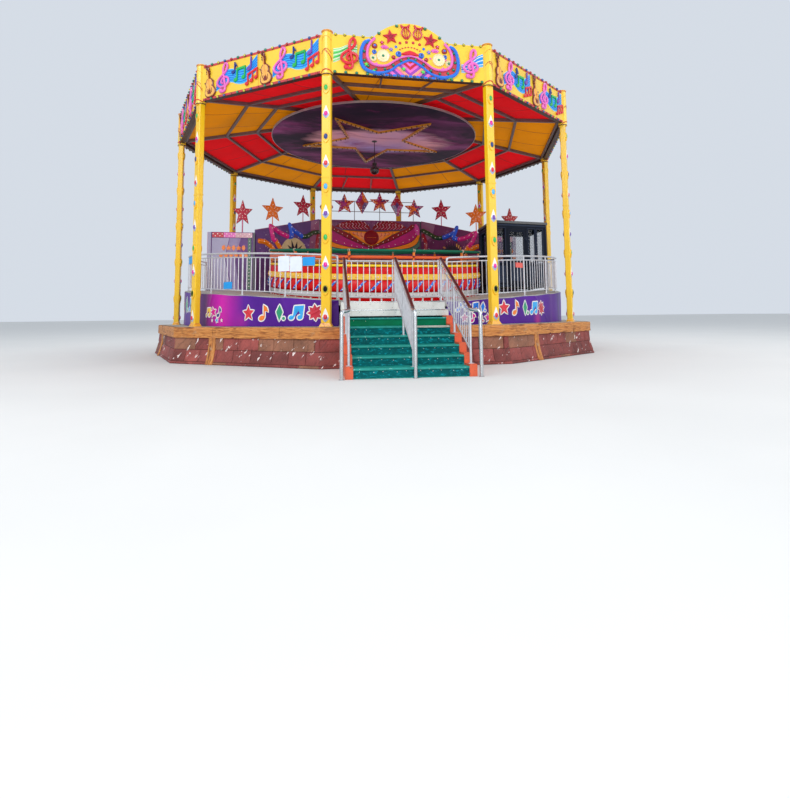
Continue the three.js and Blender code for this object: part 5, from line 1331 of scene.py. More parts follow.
def banner_note(kind, s):
    """Generic printed ornaments: a star, a quaver, a lozenge, a pair of quavers, a burst."""
    if kind == 0:
        return [star_points(0, 0, s, .45, 100)]
    if kind == 1:
        return [ellipse(-.25 * s, -.6 * s, .42 * s, .3 * s, 20, 14),
                [(.02 * s, -.6 * s), (.2 * s, -.55 * s), (.25 * s, .45 * s), (.75 * s, .1 * s), (.6 * s, .65 * s),
                 (.1 * s, s)]]
    if kind == 2:
        return [[(0, s), (.45 * s, .1 * s), (0, -s), (-.45 * s, .1 * s)],
                ellipse(.6 * s, -.65 * s, .2 * s, .2 * s, 0, 10)]
    if kind == 3:
        return [ellipse(-.6 * s, -.65 * s, .34 * s, .26 * s, 20, 12),
                ellipse(.5 * s, -.5 * s, .34 * s, .26 * s, 20, 12),
                [(-.42 * s, -.6 * s), (-.26 * s, -.6 * s), (-.22 * s, .4 * s), (.66 * s, .6 * s), (.66 * s, -.45 * s),
    (.82 * s, -.45 * s), (.84 * s, .95 * s), (-.38 * s, .75 * s)]]
    return [star_points(0, 0, s, .62, 90, 8)]


p = Part("banner_prints")
ROW = [(0, red), (1, orange), (2, leaf_dark), (3, sky_blue), (4, crimson)]
PRINTS = [(-128.6, 4.3, 1.165, .19, ROW), (-169, 4.3, 1.42, .22, ROW), (-212, 4.3, 1.46, .22, ROW),
          (-66.2, 3.9, 1.235, .185, ROW), (-14, 4.3, 1.46, .22, ROW), (30, 4.3, 1.46, .22, ROW),
          (-79, 2.1, 1.255, .115, [(1, bar_blue), (0, bar_blue), (3, bar_blue), (2, bar_blue)]),
          (-77.6, 2.1, 1.005, .105, [(0, magenta), (1, magenta), (2, red), (0, magenta)]),
          (-143.6, 2.3, 1.2, .13, [(3, fascia_yellow), (0, magenta), (1, navy)]),
          (-141.8, 2, 1, .06, [(0, white_gloss), (0, sky_blue), (0, white_gloss)])]
for start, pitch, z0, size, row in PRINTS:
    for i, (kind, mat) in enumerate(row):
        a = start + pitch * i
        tilt = rad(-8 + 16 * ((i * 37) % 10) / 10)
        for shape in banner_note(kind, size):
            turned = [(x * cos(tilt) - y * sin(tilt), x * sin(tilt) + y * cos(tilt)) for x, y in shape]
            banner_print(p, dense(turned), a, z0, mat, white_gloss if mat is not white_gloss else None)
p.done("banner")

# ---------------------------------------------------------------- bowl
LOOP, LAMPS, SEATS = 144, 108, 24
ROLL_R, GRAB_R, GRAB_Z = 3.38, 3.42, 1.896


def bowl_part(name):
    return Part(name, BOWL, TILT_AT)


def ring(p, r, z, thick, mat, n=10):
    p.tube([polar(r, 360 * i / LOOP, z) for i in range(LOOP)], thick, mat, n, True)


p = bowl_part("bowl_pan")
p.lathe([(.55, .646), (.55, .69), (3.29, .69), (3.29, .505)], dark, 96, smooth=False)
p.lathe([(3.29, .505), (3.37, .505), (3.385, .6)], bowl_red, LOOP)
p.lathe([(3.386, .6), (3.398, .604), (3.4, .69), (3.404, .744), (3.39, .75), (.02, .75)], white_gloss, LOOP)
for i in range(LAMPS):
    T = turn_to(i, LAMPS) @ moved(3.4, 0, .675) @ TO_SIDE
    dome(p, 0, 0, .016, lamp_grey, T, .8, 8)
for i in range(72):
    T = turn_to(i, 72)
    p.box((3.372, -.022, .51), (3.392, .022, .585), white_gloss, T)
for i in range(24):
    T = turn_to(i + .5, 24)
    p.box((.6, -.03, .55), (3.28, .03, .69), dark, T)
p.lathe([(0, .7505), (2.8, .7505), (2.8, .754), (0, .754)], dance_floor, LOOP, smooth=False)
for i in range(24):
    p.box((.42, -.008, .754), (2.78, .008, .757), bright, turn_to(i, 24))
for r in (.42, 1.2, 2):
    p.lathe([(r - .008, .754), (r + .008, .754), (r + .008, .757), (r - .008, .757)], bright, 96, closed=True)
p.lathe([(0, .754), (.4, .754), (.4, .762), (.36, .766), (0, .766)], black, 48)
p.done("bowl_red", ["bowl_floor"])

p = bowl_part("bowl_drum_bulge")
section = [(3.405, .7505), (3.43, .775), (3.446, .81), (3.452, .86), (3.45, .92), (3.44, .985), (3.42, 1.045),
           (3.4, 1.092), (3.33, 1.092)]
p.lathe(section, bowl_red, LOOP)
for i in range(54):
    a0 = 360 * i / 54
    pts = []
    for j in range(9):
        t = j / 8
        z = .79 + .27 * t
        r = 3.4 + .05 * sin(pi * min(1, (z - .74) / .34)) ** .6
        pts.append((r, a0 + 4.1 * t, z))
    verts = []
    for r, a, z in pts:
        for da, out in ((-.86, .004), (-.76, .022), (.76, .022), (.86, .004)):
            verts.append(polar(r + out, a + da, z + da * .012))
    faces = quads(9, 4) + [(0, 1, 2, 3), (35, 34, 33, 32)]
    p.add(verts, [tuple(reversed(f)) for f in faces], [blue, bar_blue][i % 2])
    for j in (1, 4, 7):
        r, a, z = pts[j]
        T = about_z(a) @ moved(r + .02, 0, z) @ TO_SIDE
        dome(p, 0, 0, .02, white_bulb, T, .9, 8)
p.done("bowl_red", ["bowl_drum"])

p = bowl_part("bowl_lamps")
p.lathe([(3.33, 1.0935), (3.44, 1.0935), (3.452, 1.102), (3.452, 1.24), (3.44, 1.2485), (3.33, 1.2485)], amber_band,
        LOOP, closed=True)
for i in range(LAMPS):
    T = turn_to(i, LAMPS) @ moved(3.451, 0, 1.172) @ TO_SIDE
    p.lathe([(.028, 0), (.026, .006), (.02, .006)], orange, 8, T)
    dome(p, 0, 0, .022, white_bulb if i % 2 else amber_bulb, T, 1, 8)
p.done("lamp", ["bowl_lamp_band"])

p = bowl_part("bowl_side")
p.lathe([(3.33, 1.2495), (3.41, 1.2495), (3.428, 1.262), (3.43, 1.34), (3.428, 1.408), (3.41, 1.4235), (3.33, 1.4235)],
        bowl_red, LOOP, closed=True)
# Raised ribs round the side band; their darker red is painted shade, the band's vertical shading.
for i in range(36):
    T = turn_to(i, 36)
    p.box((3.424, -.012, 1.262), (3.434, .012, 1.41), bowl_shade_red, T)
p.done("bowl_red", ["bowl_wall"])

p = bowl_part("bowl_rolls")
ring(p, ROLL_R, 1.476, .035, bowl_yellow)
ring(p, ROLL_R, 1.588, .025, roll_amber)
# A thin dark red ring in the gap between the two rolls: painted shade in that gap.
ring(p, ROLL_R, 1.53, .014, bowl_shade_red, 6)
POSTS = [FRONT + 10 + 30 * i for i in range(12)]
for a in POSTS:
    T = about_z(a) @ moved(ROLL_R, 0, 0)
    p.box((-.024, -.019, 1.4245), (.024, .019, 1.69), orange, T)
for i in range(48):
    a = rad(FRONT + 10 + 7.5 * i)
    p.tube([(ROLL_R * cos(a), ROLL_R * sin(a), 1.4245), (ROLL_R * cos(a), ROLL_R * sin(a), 1.68)], .011, black, 6)
p.done("roll")
for q in range(12):
    # Each length of the top roll is a stuffed tube, drawn in where its ties and the posts hold it.
    roll = bowl_part("bowl_top_roll_%02d" % (q + 1))
    path, radii, steps = [], [], 26
    for i in range(steps + 1):
        t = i / steps
        path.append(polar(ROLL_R, POSTS[q] + .28 + 29.44 * t, 1.71))
        pinch = min(1, (t + .02) * 14, (1.02 - t) * 14)
        tie = .0025 * cos(2 * pi * t * 6) ** 8
        radii.append(.0475 * (.72 + .28 * pinch ** .5) - tie)
    roll.tube(path, radii, roll_orange, 14)
    g = roll.done("roll", ["bowl_back_rolls"] if q == 0 else [], subdiv=1)

p = bowl_part("bowl_rail")
ring(p, GRAB_R, GRAB_Z, .038, rail_green, 12)
for a in POSTS:
    T = about_z(a)
    p.box((3.372, -.028, 1.7585), (3.424, .028, 1.862), orange, T)
    p.box((3.366, -.034, 1.7585), (3.43, .034, 1.772), orange, T)
    for y in (-.02, .02):
        around = [2 * pi * i / 14 for i in range(14)]
        p.tube([T @ Vector((GRAB_R + .044 * cos(u), y, GRAB_Z + .044 * sin(u))) for u in around], .007, pale_clamp, 5,
               True)
p.done("rail_green", ["bowl_grab_rail"])


# The bench: a moulded carcase, then one stuffed seat pad and one back pad for each of 24 places.
p = bowl_part("bench_carcase")
p.lathe([(2.87, .7545), (2.87, .83), (2.84, .86), (2.84, 1.04), (2.86, 1.06), (3.23, 1.07), (3.27, 1.48), (3.325, 1.48),
         (3.329, 1.07), (3.329, .7545)], bowl_red, LOOP, closed=True)
p.lathe([(3.235, 1.481), (3.325, 1.481), (3.32, 1.499), (3.24, 1.499)], bright, LOOP, closed=True)
for i in range(24):
    T = turn_to(i, 24)
    p.box((2.832, -.01, .87), (2.842, .01, 1.03), bowl_yellow, T)
p.done("seat_red", ["bowl_bench"])


def stuffed(name, size, cells, crown, mat):
    """A sewn pad: a crowned box whose sides pull in, swollen by cloth under pressure."""
    w, d, h = size
    nx, ny = cells
    verts, faces = [], []
    for side in (1, -1):
        for j in range(ny + 1):
            for i in range(nx + 1):
                u, v = 2 * i / nx - 1, 2 * j / ny - 1
                fall = (1 - abs(u) ** 5) * (1 - abs(v) ** 5)
                pull = 1 - .03 * (1 - v * v) * (abs(u) > .98)
                channel = .01 * math.exp(-(u / .035) ** 2) if side > 0 else 0
                z = side * (h * .28 + h * .22 * fall) + (crown * fall if side > 0 else 0) - channel
                verts.append(Vector((u * w / 2 * pull, v * d / 2 * (1 - .02 * (1 - u * u)), z)))
    m = nx + 1
    off = m * (ny + 1)
    for j in range(ny):
        for i in range(nx):
            q = j * m + i
            faces.append((q, q + 1, q + 1 + m, q + m))
            faces.append((off + q, off + q + m, off + q + m + 1, off + q + 1))
    rim = rim_of(nx, ny)
    faces += [(rim[i], off + rim[i], off + rim[(i + 1) % len(rim)], rim[(i + 1) % len(rim)]) for i in range(len(rim))]
    mesh = bpy.data.meshes.new(name)
    mesh.from_pydata([tuple(v) for v in verts], [], faces)
    mesh.materials.append(mat)
    for poly in mesh.polygons:
        poly.use_smooth = True
    return mesh


def swell(mesh, voxel, cap):
    """Blender's cloth swells the pad, no point moves further than the cap."""
    obj = bpy.data.objects.new("pad_sim", mesh)
    scene.collection.objects.link(obj)
    bpy.context.view_layer.objects.active = obj
    obj.data.remesh_voxel_size = voxel
    mod = obj.modifiers.new("remesh", "REMESH")
    mod.mode, mod.voxel_size = "VOXEL", voxel
    deps = bpy.context.evaluated_depsgraph_get()
    start = bpy.data.meshes.new_from_object(obj.evaluated_get(deps))
    obj.modifiers.clear()
    obj.data = start
    rest = [v.co.copy() for v in start.vertices]
    cloth = obj.modifiers.new("cloth", "CLOTH")
    s = cloth.settings
    s.use_pressure = True
    s.uniform_pressure_force = 4
    s.effector_weights.gravity = 0
    s.tension_stiffness = s.compression_stiffness = 25
    s.quality = 5
    for f in range(1, 21):
        scene.frame_set(f)
    deps = bpy.context.evaluated_depsgraph_get()
    out = bpy.data.meshes.new_from_object(obj.evaluated_get(deps))
    scene.frame_set(1)
    for v, r in zip(out.vertices, rest):
        move = v.co - r
        if move.length > cap:
            v.co = r + move * (cap / move.length)
    for poly in out.polygons:
        poly.use_smooth = True
    bpy.data.objects.remove(obj)
    return out


seat_mesh = swell(stuffed("seat_pad", (.72, .36, .085), (20, 12), .012, seat), .016, .01)
back_mesh = swell(stuffed("back_pad", (.8, .36, .06), (20, 12), .01, seat), .016, .01)
for i in range(SEATS):
    T = turn_to(i + .5, SEATS)
    for name, mesh, place in (("seat_pad", seat_mesh, moved(3.04, 0, 1.118) @ about_z(90)),
                              ("back_pad", back_mesh, moved(3.212, 0, 1.315) @ about_z(90)
                               @ Matrix.Rotation(rad(84.5), 4, "X"))):
        o = bpy.data.objects.new("%s_%02d" % (name, i + 1), mesh)
        scene.collection.objects.link(o)
        o.matrix_world = TILT_AT @ T @ place
        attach(o, BOWL)

# ---------------------------------------------------------------- scenery
REST, BULB_PITCH = 1.9056, .2
WINGS = {"left": ((-4, 1.5), (-1.71, 4.14), 4.1, 4.98), "right": ((2.57, 4.14), (4.25, 1.5), 4.98, 4.1)}


def lamp_ribbon(p, pts, width, mat, ends=True):
    """A raised painted tube that carries a line of small bulbs; pts are (x, z) on the panel's face."""
    path = smooth_path([(x, z, .033) for x, z in pts], 5)
    verts, n = [], 8
    for i, q in enumerate(path):
        t = (path[min(i + 1, len(path) - 1)] - path[max(i - 1, 0)]).normalized()
        for k in range(n + 1):
            w, h = width / 2 * cos(pi * k / n), width * .4 * sin(pi * k / n)
            verts.append((q.x - t.y * w, q.y + t.x * w, q.z + h))
    p.add(verts, quads(len(path), n + 1), mat, None, True)
    for q in (path[0], path[-1]) if ends else ():
        dome(p, q.x, q.y, width / 2, mat, moved(0, 0, q.z), .8, 14)
    run = BULB_PITCH / 2
    for a, b in zip(path, path[1:]):
        run += (b - a).length
        if run > BULB_PITCH:
            run = 0
            p.ball((b.x, b.y, b.z + width * .4), .02, white_bulb, None, 6)


def upright(origin, end):
    """A frame on an upright panel: x along it, y up, z out of its front."""
    t = Vector((end[0] - origin[0], end[1] - origin[1], 0)).normalized()
    u = Vector((0, 0, 1))
    m = Matrix((t, u, t.cross(u))).transposed().to_4x4()
    return moved(origin[0], origin[1], 0) @ m


def lamp_star(p, x, y, z, r, stretch, turn, mat, edge, foot):
    """A flat lamp star on a thin pole, seen from the front."""
    T = moved(x, y, z) @ Matrix.Rotation(turn, 4, "Z") @ TO_FRONT
    outline = [(u, v * stretch) for u, v in star_points(0, 0, r, .43)]
    p.prism(outline, -.018, .018, mat, T, crown=.004)
    for i in range(10):
        (ax, ay), (bx, by) = outline[i], outline[(i + 1) % 10]
        p.tube([(ax, ay, .012), (bx, by, .012)], .008, edge, 5, T=T)
        p.add([(0, 0, .045), (ax, ay, .018), (bx, by, .018)], [(0, 1, 2)], mat, T)
    for q, count, first in ((.74, 5, 90), (.45, 5, 90), (.22, 5, 126), (.34, 5, 126)):
        for i in range(count):
            t = rad(first + 72 * i)
            p.ball((r * q * cos(t), r * q * sin(t) * stretch, .036), .0155, white_bulb, T, 6)
    p.tube([(x, y, foot), (x, y, z - r * .3)], .018, rose if mat is not star_orange else star_orange, 8)


def panel(p, length, z0, left_top, right_top, mat):
    """A panel with its frame and sheet seams, in its own upright frame; z is 0 at its middle."""
    h = .035
    p.prism([(.001, z0), (length - .001, z0), (length - .001, right_top - .001), (.001, left_top - .001)],
            -h + .02, h - .002, mat)
    n = max(2, round(length))
    for i in range(n + 1):
        x = .02 + (length - .04) * i / n
        top = left_top + (right_top - left_top) * x / length - .01
        p.box((x - .018, z0, -h), (x + .018, top, -h + .022), frame_steel)
        if 0 < i < n:
            p.box((x - .002, z0, h - .0025), (x + .002, top, h - .0005), plum)
    for q in (.1, .5, .93):
        z = z0 + (min(left_top, right_top) - z0) * q
        p.box((.02, z - .018, -h), (length - .02, z + .018, -h + .022), frame_steel)
    p.tube([(.01, left_top - .008, h - .008), (length - .01, right_top - .008, h - .008)], .009, rose, 6)


TUBES = {
    "left": [(red_tube, [(3.26, 3.3), (3.29, 3.72), (3.34, 4), (3.41, 4.3)], True),
             (magenta_tube, [(.97, 3.82), (.85, 3.88), (.77, 4.09), (.7, 4.31)], False),
             (magenta_tube, [(.7, 4.31), (.92, 4.24), (1.2, 4.13), (1.63, 4.04)], True),
             (blue_tube, [(1.63, 4.04), (1.84, 4.08), (1.8, 4.26), (1.71, 4.5)], True),
             (blue_tube, [(1.71, 4.5), (1.84, 4.36), (2.08, 4.27), (2.43, 4.14)], False),
             (green_tube, [(2.43, 4.14), (2.74, 4.19), (3.08, 4.36), (3.42, 4.43)], True),
             (orange_tube, [(.17, 3.71), (.46, 3.7), (.76, 3.56), (.95, 3.35), (.98, 3.1)], True),
             (orange_tube, [(.97, 3.82), (1.1, 3.68), (1.26, 3.5), (1.3, 3.3)], True)],
    "right": [(red_tube, [(.12, 4.35), (.24, 4.12), (.27, 3.9), (.21, 3.55), (.2, 3.3)], True),
              (green_tube, [(.1, 4.57), (.5, 4.37), (.88, 4.18), (1.25, 4.15)], True),
              (blue_tube, [(1.25, 4.15), (1.52, 4.2), (1.84, 4.3), (1.97, 4.46)], True),
              (blue_tube, [(1.97, 4.46), (1.86, 4.26), (1.8, 4.07), (2.05, 3.99)], False),
              (magenta_tube, [(2.05, 3.99), (2.4, 4.01), (2.7, 4.1), (2.9, 4.16)], False),
              (magenta_tube, [(2.9, 4.14), (2.84, 3.98), (2.72, 3.8), (2.55, 3.67)], True),
              (orange_tube, [(2.55, 3.67), (2.44, 3.55), (2.38, 3.3), (2.3, 3.1)], True),
              (orange_tube, [(2.66, 3.52), (2.86, 3.6), (3, 3.62)], True)]}
STARS = {"left": [(.24, 4.91, star_orange), (.72, 5.33, star_crimson)],
         "right": [(.36, 5.27, star_crimson), (.93, 4.795, star_orange)]}
for name, (a, b, za, zb) in WINGS.items():
    length = math.hypot(b[0] - a[0], b[1] - a[1])
    p = Part("scenery_wing_" + name, at=upright(a, b))
    panel(p, length, REST, za, zb, panel_mauve_dark if name == "right" else panel_purple)
    patch = {"left": [(2.86, 3.6), (3.49, 3.5), (3.49, 4.93), (2.98, 4.82)],
             "right": [(.02, 4.1), (.62, 4.2), (.8, 4.72), (.02, 4.94)]}[name]
    p.prism(patch, .033, .0345, panel_pale)
    for mat, pts, ends in TUBES[name]:
        lamp_ribbon(p, pts, .185, mat, ends)
    # A plain fan of rays fills the middle, where the tubes leave room.
    cx, cz = (2, 3.42) if name == "left" else (1.66, 3.3)
    if name == "left":
        p.prism([(cx + .74 * cos(rad(t)), cz + .62 * sin(rad(t))) for t in range(0, 181, 10)], .034, .044, straw,
                crown=.004)
        p.prism([(cx + r * cos(rad(t)), cz + r * sin(rad(t)) * .9)
                 for t, r in ((4, .2), (16, .5), (28, .24), (44, .6), (58, .28), (76, .56), (92, .26), (108, .6),
                              (124, .3), (140, .52), (152, .26), (166, .58), (176, .2))], .044, .052, plum, crown=.003)
        p.prism([(cx + .2 * cos(rad(t)), cz + .22 * sin(rad(t))) for t in range(0, 181, 15)], .052, .06, straw,
                crown=.003)
    else:
        p.prism([(cx + (.72 if i % 2 else .44) * cos(rad(6 * i)), cz + (.66 if i % 2 else .42) * sin(rad(6 * i)))
                 for i in range(31)], .034, .046, plum, crown=.003)
        for t in (24, 36, 48, 60, 126):
            p.prism(ellipse(cx + .6 * cos(rad(t)), cz + .54 * sin(rad(t)), .075, .03, t + 30, 10), .046, .054, tan)
    rng = random.Random(11)
    for i in range(34):
        x = rng.uniform(.2, length - .2)
        z = rng.uniform(3.3, za + (zb - za) * x / length - .1)
        p.ball((x, z, .036), .013, white_bulb, None, 6)
    for u in (.6, 2.3):
        p.bar((u, REST, -.06), (u, 3.6, -.06), .05, .05, frame_steel)
    p.at = None
    for place, z, mat in STARS[name]:
        x, y = a[0] + (b[0] - a[0]) * place, a[1] + (b[1] - a[1]) * place
        lamp_star(p, x, y, z, .413, 1.13, math.atan2(b[1] - a[1], b[0] - a[0]) * .45, mat,
                  dark_red if mat is not star_orange else orange_edge, za + (zb - za) * place - .1)
    p.done("scenery", ["scenery_" + name])

p = Part("scenery_middle", at=upright((-1.65, 4.2), (2.51, 4.2)))
panel(p, 4.16, REST, 4.98, 4.98, panel_mauve_dark)
C = 2.09


def hanging_band(low, high, mat, lift, edge=None, dots=0):
    """A band hung about the panel's middle, between two curves given from the middle outwards."""
    rows = []
    for curve in (low, high):
        half = smooth_path([(x, z, 0) for x, z in curve], 6)
        rows.append([(C - q.x, q.y) for q in reversed(half)][:-1] + [(C + q.x, q.y) for q in half])
    verts = []
    for (x, z), (x2, z2) in zip(*rows):
        verts += [(x, z, .034), (x, z, lift), (x2, z2, lift), (x2, z2, .034)]
    count = len(rows[0])
    p.add(verts, quads(count, 4, flip=True), mat)
    if edge:
        p.tube([(x, z, lift) for x, z in rows[0]], .012, edge, 5)
    for i in range(1, count - 1, 3) if dots else ():
        (x, z), (x2, z2) = rows[0][i], rows[1][i]
        p.ball((x * (1 - dots) + x2 * dots, z * (1 - dots) + z2 * dots, lift + .004), .018, white_bulb, None, 6)


hanging_band([(0, 3.42), (.5, 3.5), (1.2, 3.58), (1.75, 3.7), (2.04, 3.9)],
             [(0, 3.72), (.5, 3.76), (1.2, 3.84), (1.75, 4), (2.04, 4.4)], green_tube, .037, plum)
hanging_band([(0, 3.69), (.5, 3.72), (1.1, 3.76), (1.65, 3.87), (1.93, 4.05), (2.05, 4.33)],
             [(0, 3.8), (.5, 3.82), (1.1, 3.9), (1.65, 4.12), (1.9, 4.4), (2.03, 4.64)], amber_panel, .041, green_tube)
hanging_band([(0, 3.76), (.45, 3.8), (.9, 3.86), (1.55, 4.04), (1.87, 4.28), (1.99, 4.58)],
             [(0, 3.86), (.45, 4.03), (.9, 4.24), (1.45, 4.5), (1.74, 4.72), (1.86, 4.88)], magenta_panel, .045, plum,
             .25)
hanging_band([(0, 3.79), (.42, 3.97), (.85, 4.15), (1.3, 4.38), (1.64, 4.57), (1.9, 4.8)],
             [(0, 3.93), (.42, 4.13), (.85, 4.35), (1.2, 4.53), (1.48, 4.65), (1.7, 4.84)], crimson_panel, .049, plum,
             .45)
hanging_band([(0, 3.9), (.25, 4), (.5, 4.14), (.85, 4.36), (1.2, 4.53)],
             [(0, 4.5), (.3, 4.5), (.6, 4.51), (.9, 4.535), (1.2, 4.55)], amber_panel, .053, leaf_green)
hanging_band([(0, 3.98), (.2, 4.08), (.42, 4.22), (.6, 4.34), (.8, 4.44)],
             [(0, 4.4), (.2, 4.44), (.42, 4.44), (.6, 4.46), (.8, 4.47)], orange, .056)
for s in (-1, 1):
    p.tube(smooth_path([(C, 4.5, .055), (C + s * .5, 4.52, .055), (C + s * 1.2, 4.56, .055)], 4), .012, leaf_green, 5)
    for i, (d, h) in enumerate(((.36, .12), (.52, .1), (.68, .08), (.84, .06))):
        p.tube(smooth_path([(C + s * d, 4.2 + d * .22, .058), (C + s * (d + .07), 4.3 + d * .16, .058),
                            (C + s * (d + .04), 4.3 + h + d * .16, .058)], 4), .012, dark_red if i % 2 else crimson, 5)
    leaf_shape = [(.03, 4.6), (.1, 4.75), (.26, 4.88), (.5, 4.95), (.85, 4.955), (1.2, 4.88), (1.5, 4.7), (1.2, 4.62),
                  (.8, 4.6), (.4, 4.58)]
    p.prism([(C + s * x, z) for x, z in leaf_shape], .034, .054, crimson_panel, crown=.004)
    for i in range(9):
        q = .14 + .13 * i
        p.tube(smooth_path([(C + s * q, 4.61, .056), (C + s * (q + .13), 4.71, .056), (C + s * (q + .07), 4.8, .056),
                            (C + s * (q + .15), 4.9 - .012 * i, .056)], 3), .013, rose if i % 2 else pale_pink, 5)
    for i in range(9):
        t = i / 8
        p.ball((C + s * (.12 + 1.2 * t), 4.78 + .16 * sin(pi * min(1, t * 1.25)) ** .5 - .1 * max(0, t - .8), .056),
               .016, white_bulb, None, 6)
    p.prism(ellipse(C + s * 1.93, 4.62, .1, .24, s * 12, 16), .04, .058, magenta, crown=.006)
    lamp_ribbon(p, [(C + s * 1.2, 2.2), (C + s * 1.5, 2.5), (C + s * 1.7, 2.9), (C + s * 1.84, 3.4)], .14, magenta_tube)
dome(p, C, 4.26, .3, ball_crimson, moved(0, 0, .054), .1, 36)
p.tube([(C + .3 * cos(2 * pi * i / 36), 4.26 + .3 * sin(2 * pi * i / 36), .058) for i in range(36)], .014, dark_red, 6,
       True)
p.tube([(C - .2, 4.255, .082), (C + .2, 4.255, .082)], .006, star_orange, 5)
p.prism(star_points(C, 2.6, .42, .5, 90, 8), .034, .046, amber_panel, crown=.004)
for s in (-1, 1):
    p.bar((C + s * 1.2, REST, -.06), (C + s * 1.2, 4.7, -.06), .05, .05, frame_steel)
p.at = None
for x in (-1.681, 2.541):
    p.box((x - .029, 4.145, REST), (x + .029, 4.205, 4.965), plum)
p.done("scenery", ["scenery_centre"])

p = Part("sign_rack_shapes")
LOW, LEFT, RIGHT = 4.9803, -1.4, 2.27
for z in (LOW + .36, LOW + .8):
    p.tube([(LEFT, 4.2, z), (RIGHT, 4.2, z)], .013, frame_steel, 8)
for x in (-1.3, -.25, .8, 1.7, 2.23):
    p.tube([(x, 4.2, LOW + .001), (x, 4.2, LOW + .8)], .013, frame_steel, 8)
SIGN = [star_crimson, violet_paint, star_orange, sign_magenta, star_red]
for i in range(6):
    place = i / 5
    T = moved(LEFT + (RIGHT - LEFT) * place, 4.2, LOW + .52 + .24 * sin(pi * place)) @ TO_FRONT
    outline = star_points(0, 0, .425, 185 / 425) if i % 2 else [(.265, 0), (0, .47), (-.265, 0), (0, -.47)]
    p.prism(outline, -.014, .008, SIGN[i % 5], T)
    m = len(outline)
    for j in range(m):
        u, v = outline[j], outline[(j + 1) % m]
        mat = SIGN[(i + j * (1 if m == 4 else 2) + j // 3) % 5]
        cut = .34
        ring = [u, v, (v[0] * cut, v[1] * cut), (u[0] * cut, u[1] * cut)]
        p.add([(q[0], q[1], .009) for q in ring[:2]] + [(q[0], q[1], .03) for q in ring[2:]], [(0, 1, 2, 3)], mat, T)
        p.add([(0, 0, .03), (u[0] * cut, u[1] * cut, .03), (v[0] * cut, v[1] * cut, .03)], [(0, 1, 2)],
              SIGN[(i + 2) % 5], T)
        p.tube([(u[0], u[1], .008), (v[0], v[1], .008)], .011, SIGN[(i + j + 3) % 5], 5, T=T)
        for t in ((.18, .5, .82) if m == 4 else (.3, .8)):
            p.ball(((u[0] + (v[0] - u[0]) * t) * .78, (u[1] + (v[1] - u[1]) * t) * .78, .022), .018, white_bulb, T, 6)
p.done("scenery", ["sign_rack"])

for name, left, right, star_x, star_z, hue in (("left", -5.45, -4.06, -4.44, 4.67, star_crimson),
                                               ("right", 4.32, 5.45, 5.42, 4.64, star_red)):
    p = Part("cabinet_trim_" + name)
    y, top = 1.36, 3.97
    w = right - left
    face = moved(left, y - .0005, 0) @ TO_FRONT
    for a, b, mat in ((.03, .3, crimson), (.3, .58, pink), (.58, .98, pale_pink)):
        p.box((w * a, top - .19, 0), (w * b, top - .02, .03), mat, face)
    for i in range(int(w / .075)):
        p.ball((.07 + .075 * i, top - .07 - .07 * (i % 2), .034), .02, white_bulb, face, 6)
    p.prism([(.03, 1.95), (.03, 3.77), (.6, 3.77), (.46, 3.1), (.7, 1.95)], 0, .002, pale_lavender, face)
    p.prism([(.62, 3.77), (.48, 3.1), (.72, 1.95), (.96, 1.95), (.8, 3), (.98, 3.77)], 0, .0015, panel_lavender, face)
    p.box((w - .17, 2, 0), (w - .06, top - .2, .028), green_tube, face)
    for i in range(14):
        p.ball((w - .115, 2.1 + .12 * i, .03), .017, white_bulb, face, 6)
    # Flanges at the front edges: a pale one outside, a dark one that meets the wing's end.
    out, near = (0, w) if name == "left" else (w, 0)
    side = -1 if name == "left" else 1
    p.box((min(out, out + side * .11), 1.92, -.03), (max(out, out + side * .11), top - .002, .012), pale_lavender, face)
    p.tube([(out + side * .112, 1.92, -.01), (out + side * .112, top - .004, -.01)], .014, pale_pink, 6, T=face)
    p.box((min(near, near - side * .062), 1.92, -.1), (max(near, near - side * .062), top - .002, .012), plum, face)
    for row, x0, count in ((3.42, .42, 5), (3.16, .34, 6)):
        for i in range(count):
            shape = star_points(0, 0, .1, .5) if i % 2 else [(.065, 0), (.02, .1), (-.05, .07), (-.065, -.02), (0, -.1)]
            p.prism([(x0 + .165 * i + u, row + v) for u, v in shape], .002, .02, orange, face, crown=.003)
    p.box((left + .2, 1.6805, 2.1), (left + .9, 1.69, 3.7), panel_mauve_dark)
    p.box((left + .82, 1.69, 2.9), (left + .85, 1.72, 3.05), bright)
    for turn, dy in ((0, -.02), (pi, .02)):
        lamp_star(p, star_x, 1.52 + dy, star_z, .336, 1.36, turn, hue, dark_red, 3.98)
    p.done("scenery")

# ---------------------------------------------------------------- booth
PLAN = [(3.52, -1.7), (5.43, -1.45), (5.56, .2), (3.73, .2)]
BOOTH_LOW, SILL, HEAD, BOOTH_HIGH = 1.9253, 2.685, 3.83, 3.96
OPENINGS = [[(.09, .45, SILL, HEAD), (.52, 1.18, 1.9853, 3.785), (1.25, 1.53, SILL, HEAD), (1.56, 1.82, SILL, HEAD)],
            [(.14, .8, SILL, HEAD), (.86, 1.52, SILL, HEAD)], [(.15, .88, SILL, HEAD), (.95, 1.68, SILL, HEAD)],
            [(.15, .92, SILL, HEAD), (.98, 1.76, SILL, HEAD)]]
HEART, HINGES = (4.55, -.7), (2.2853, 3.4853)


def grown(scale):
    """The booth's plan, grown about its middle."""
    return [(HEART[0] + (x - HEART[0]) * scale, HEART[1] + (y - HEART[1]) * scale) for x, y in PLAN]


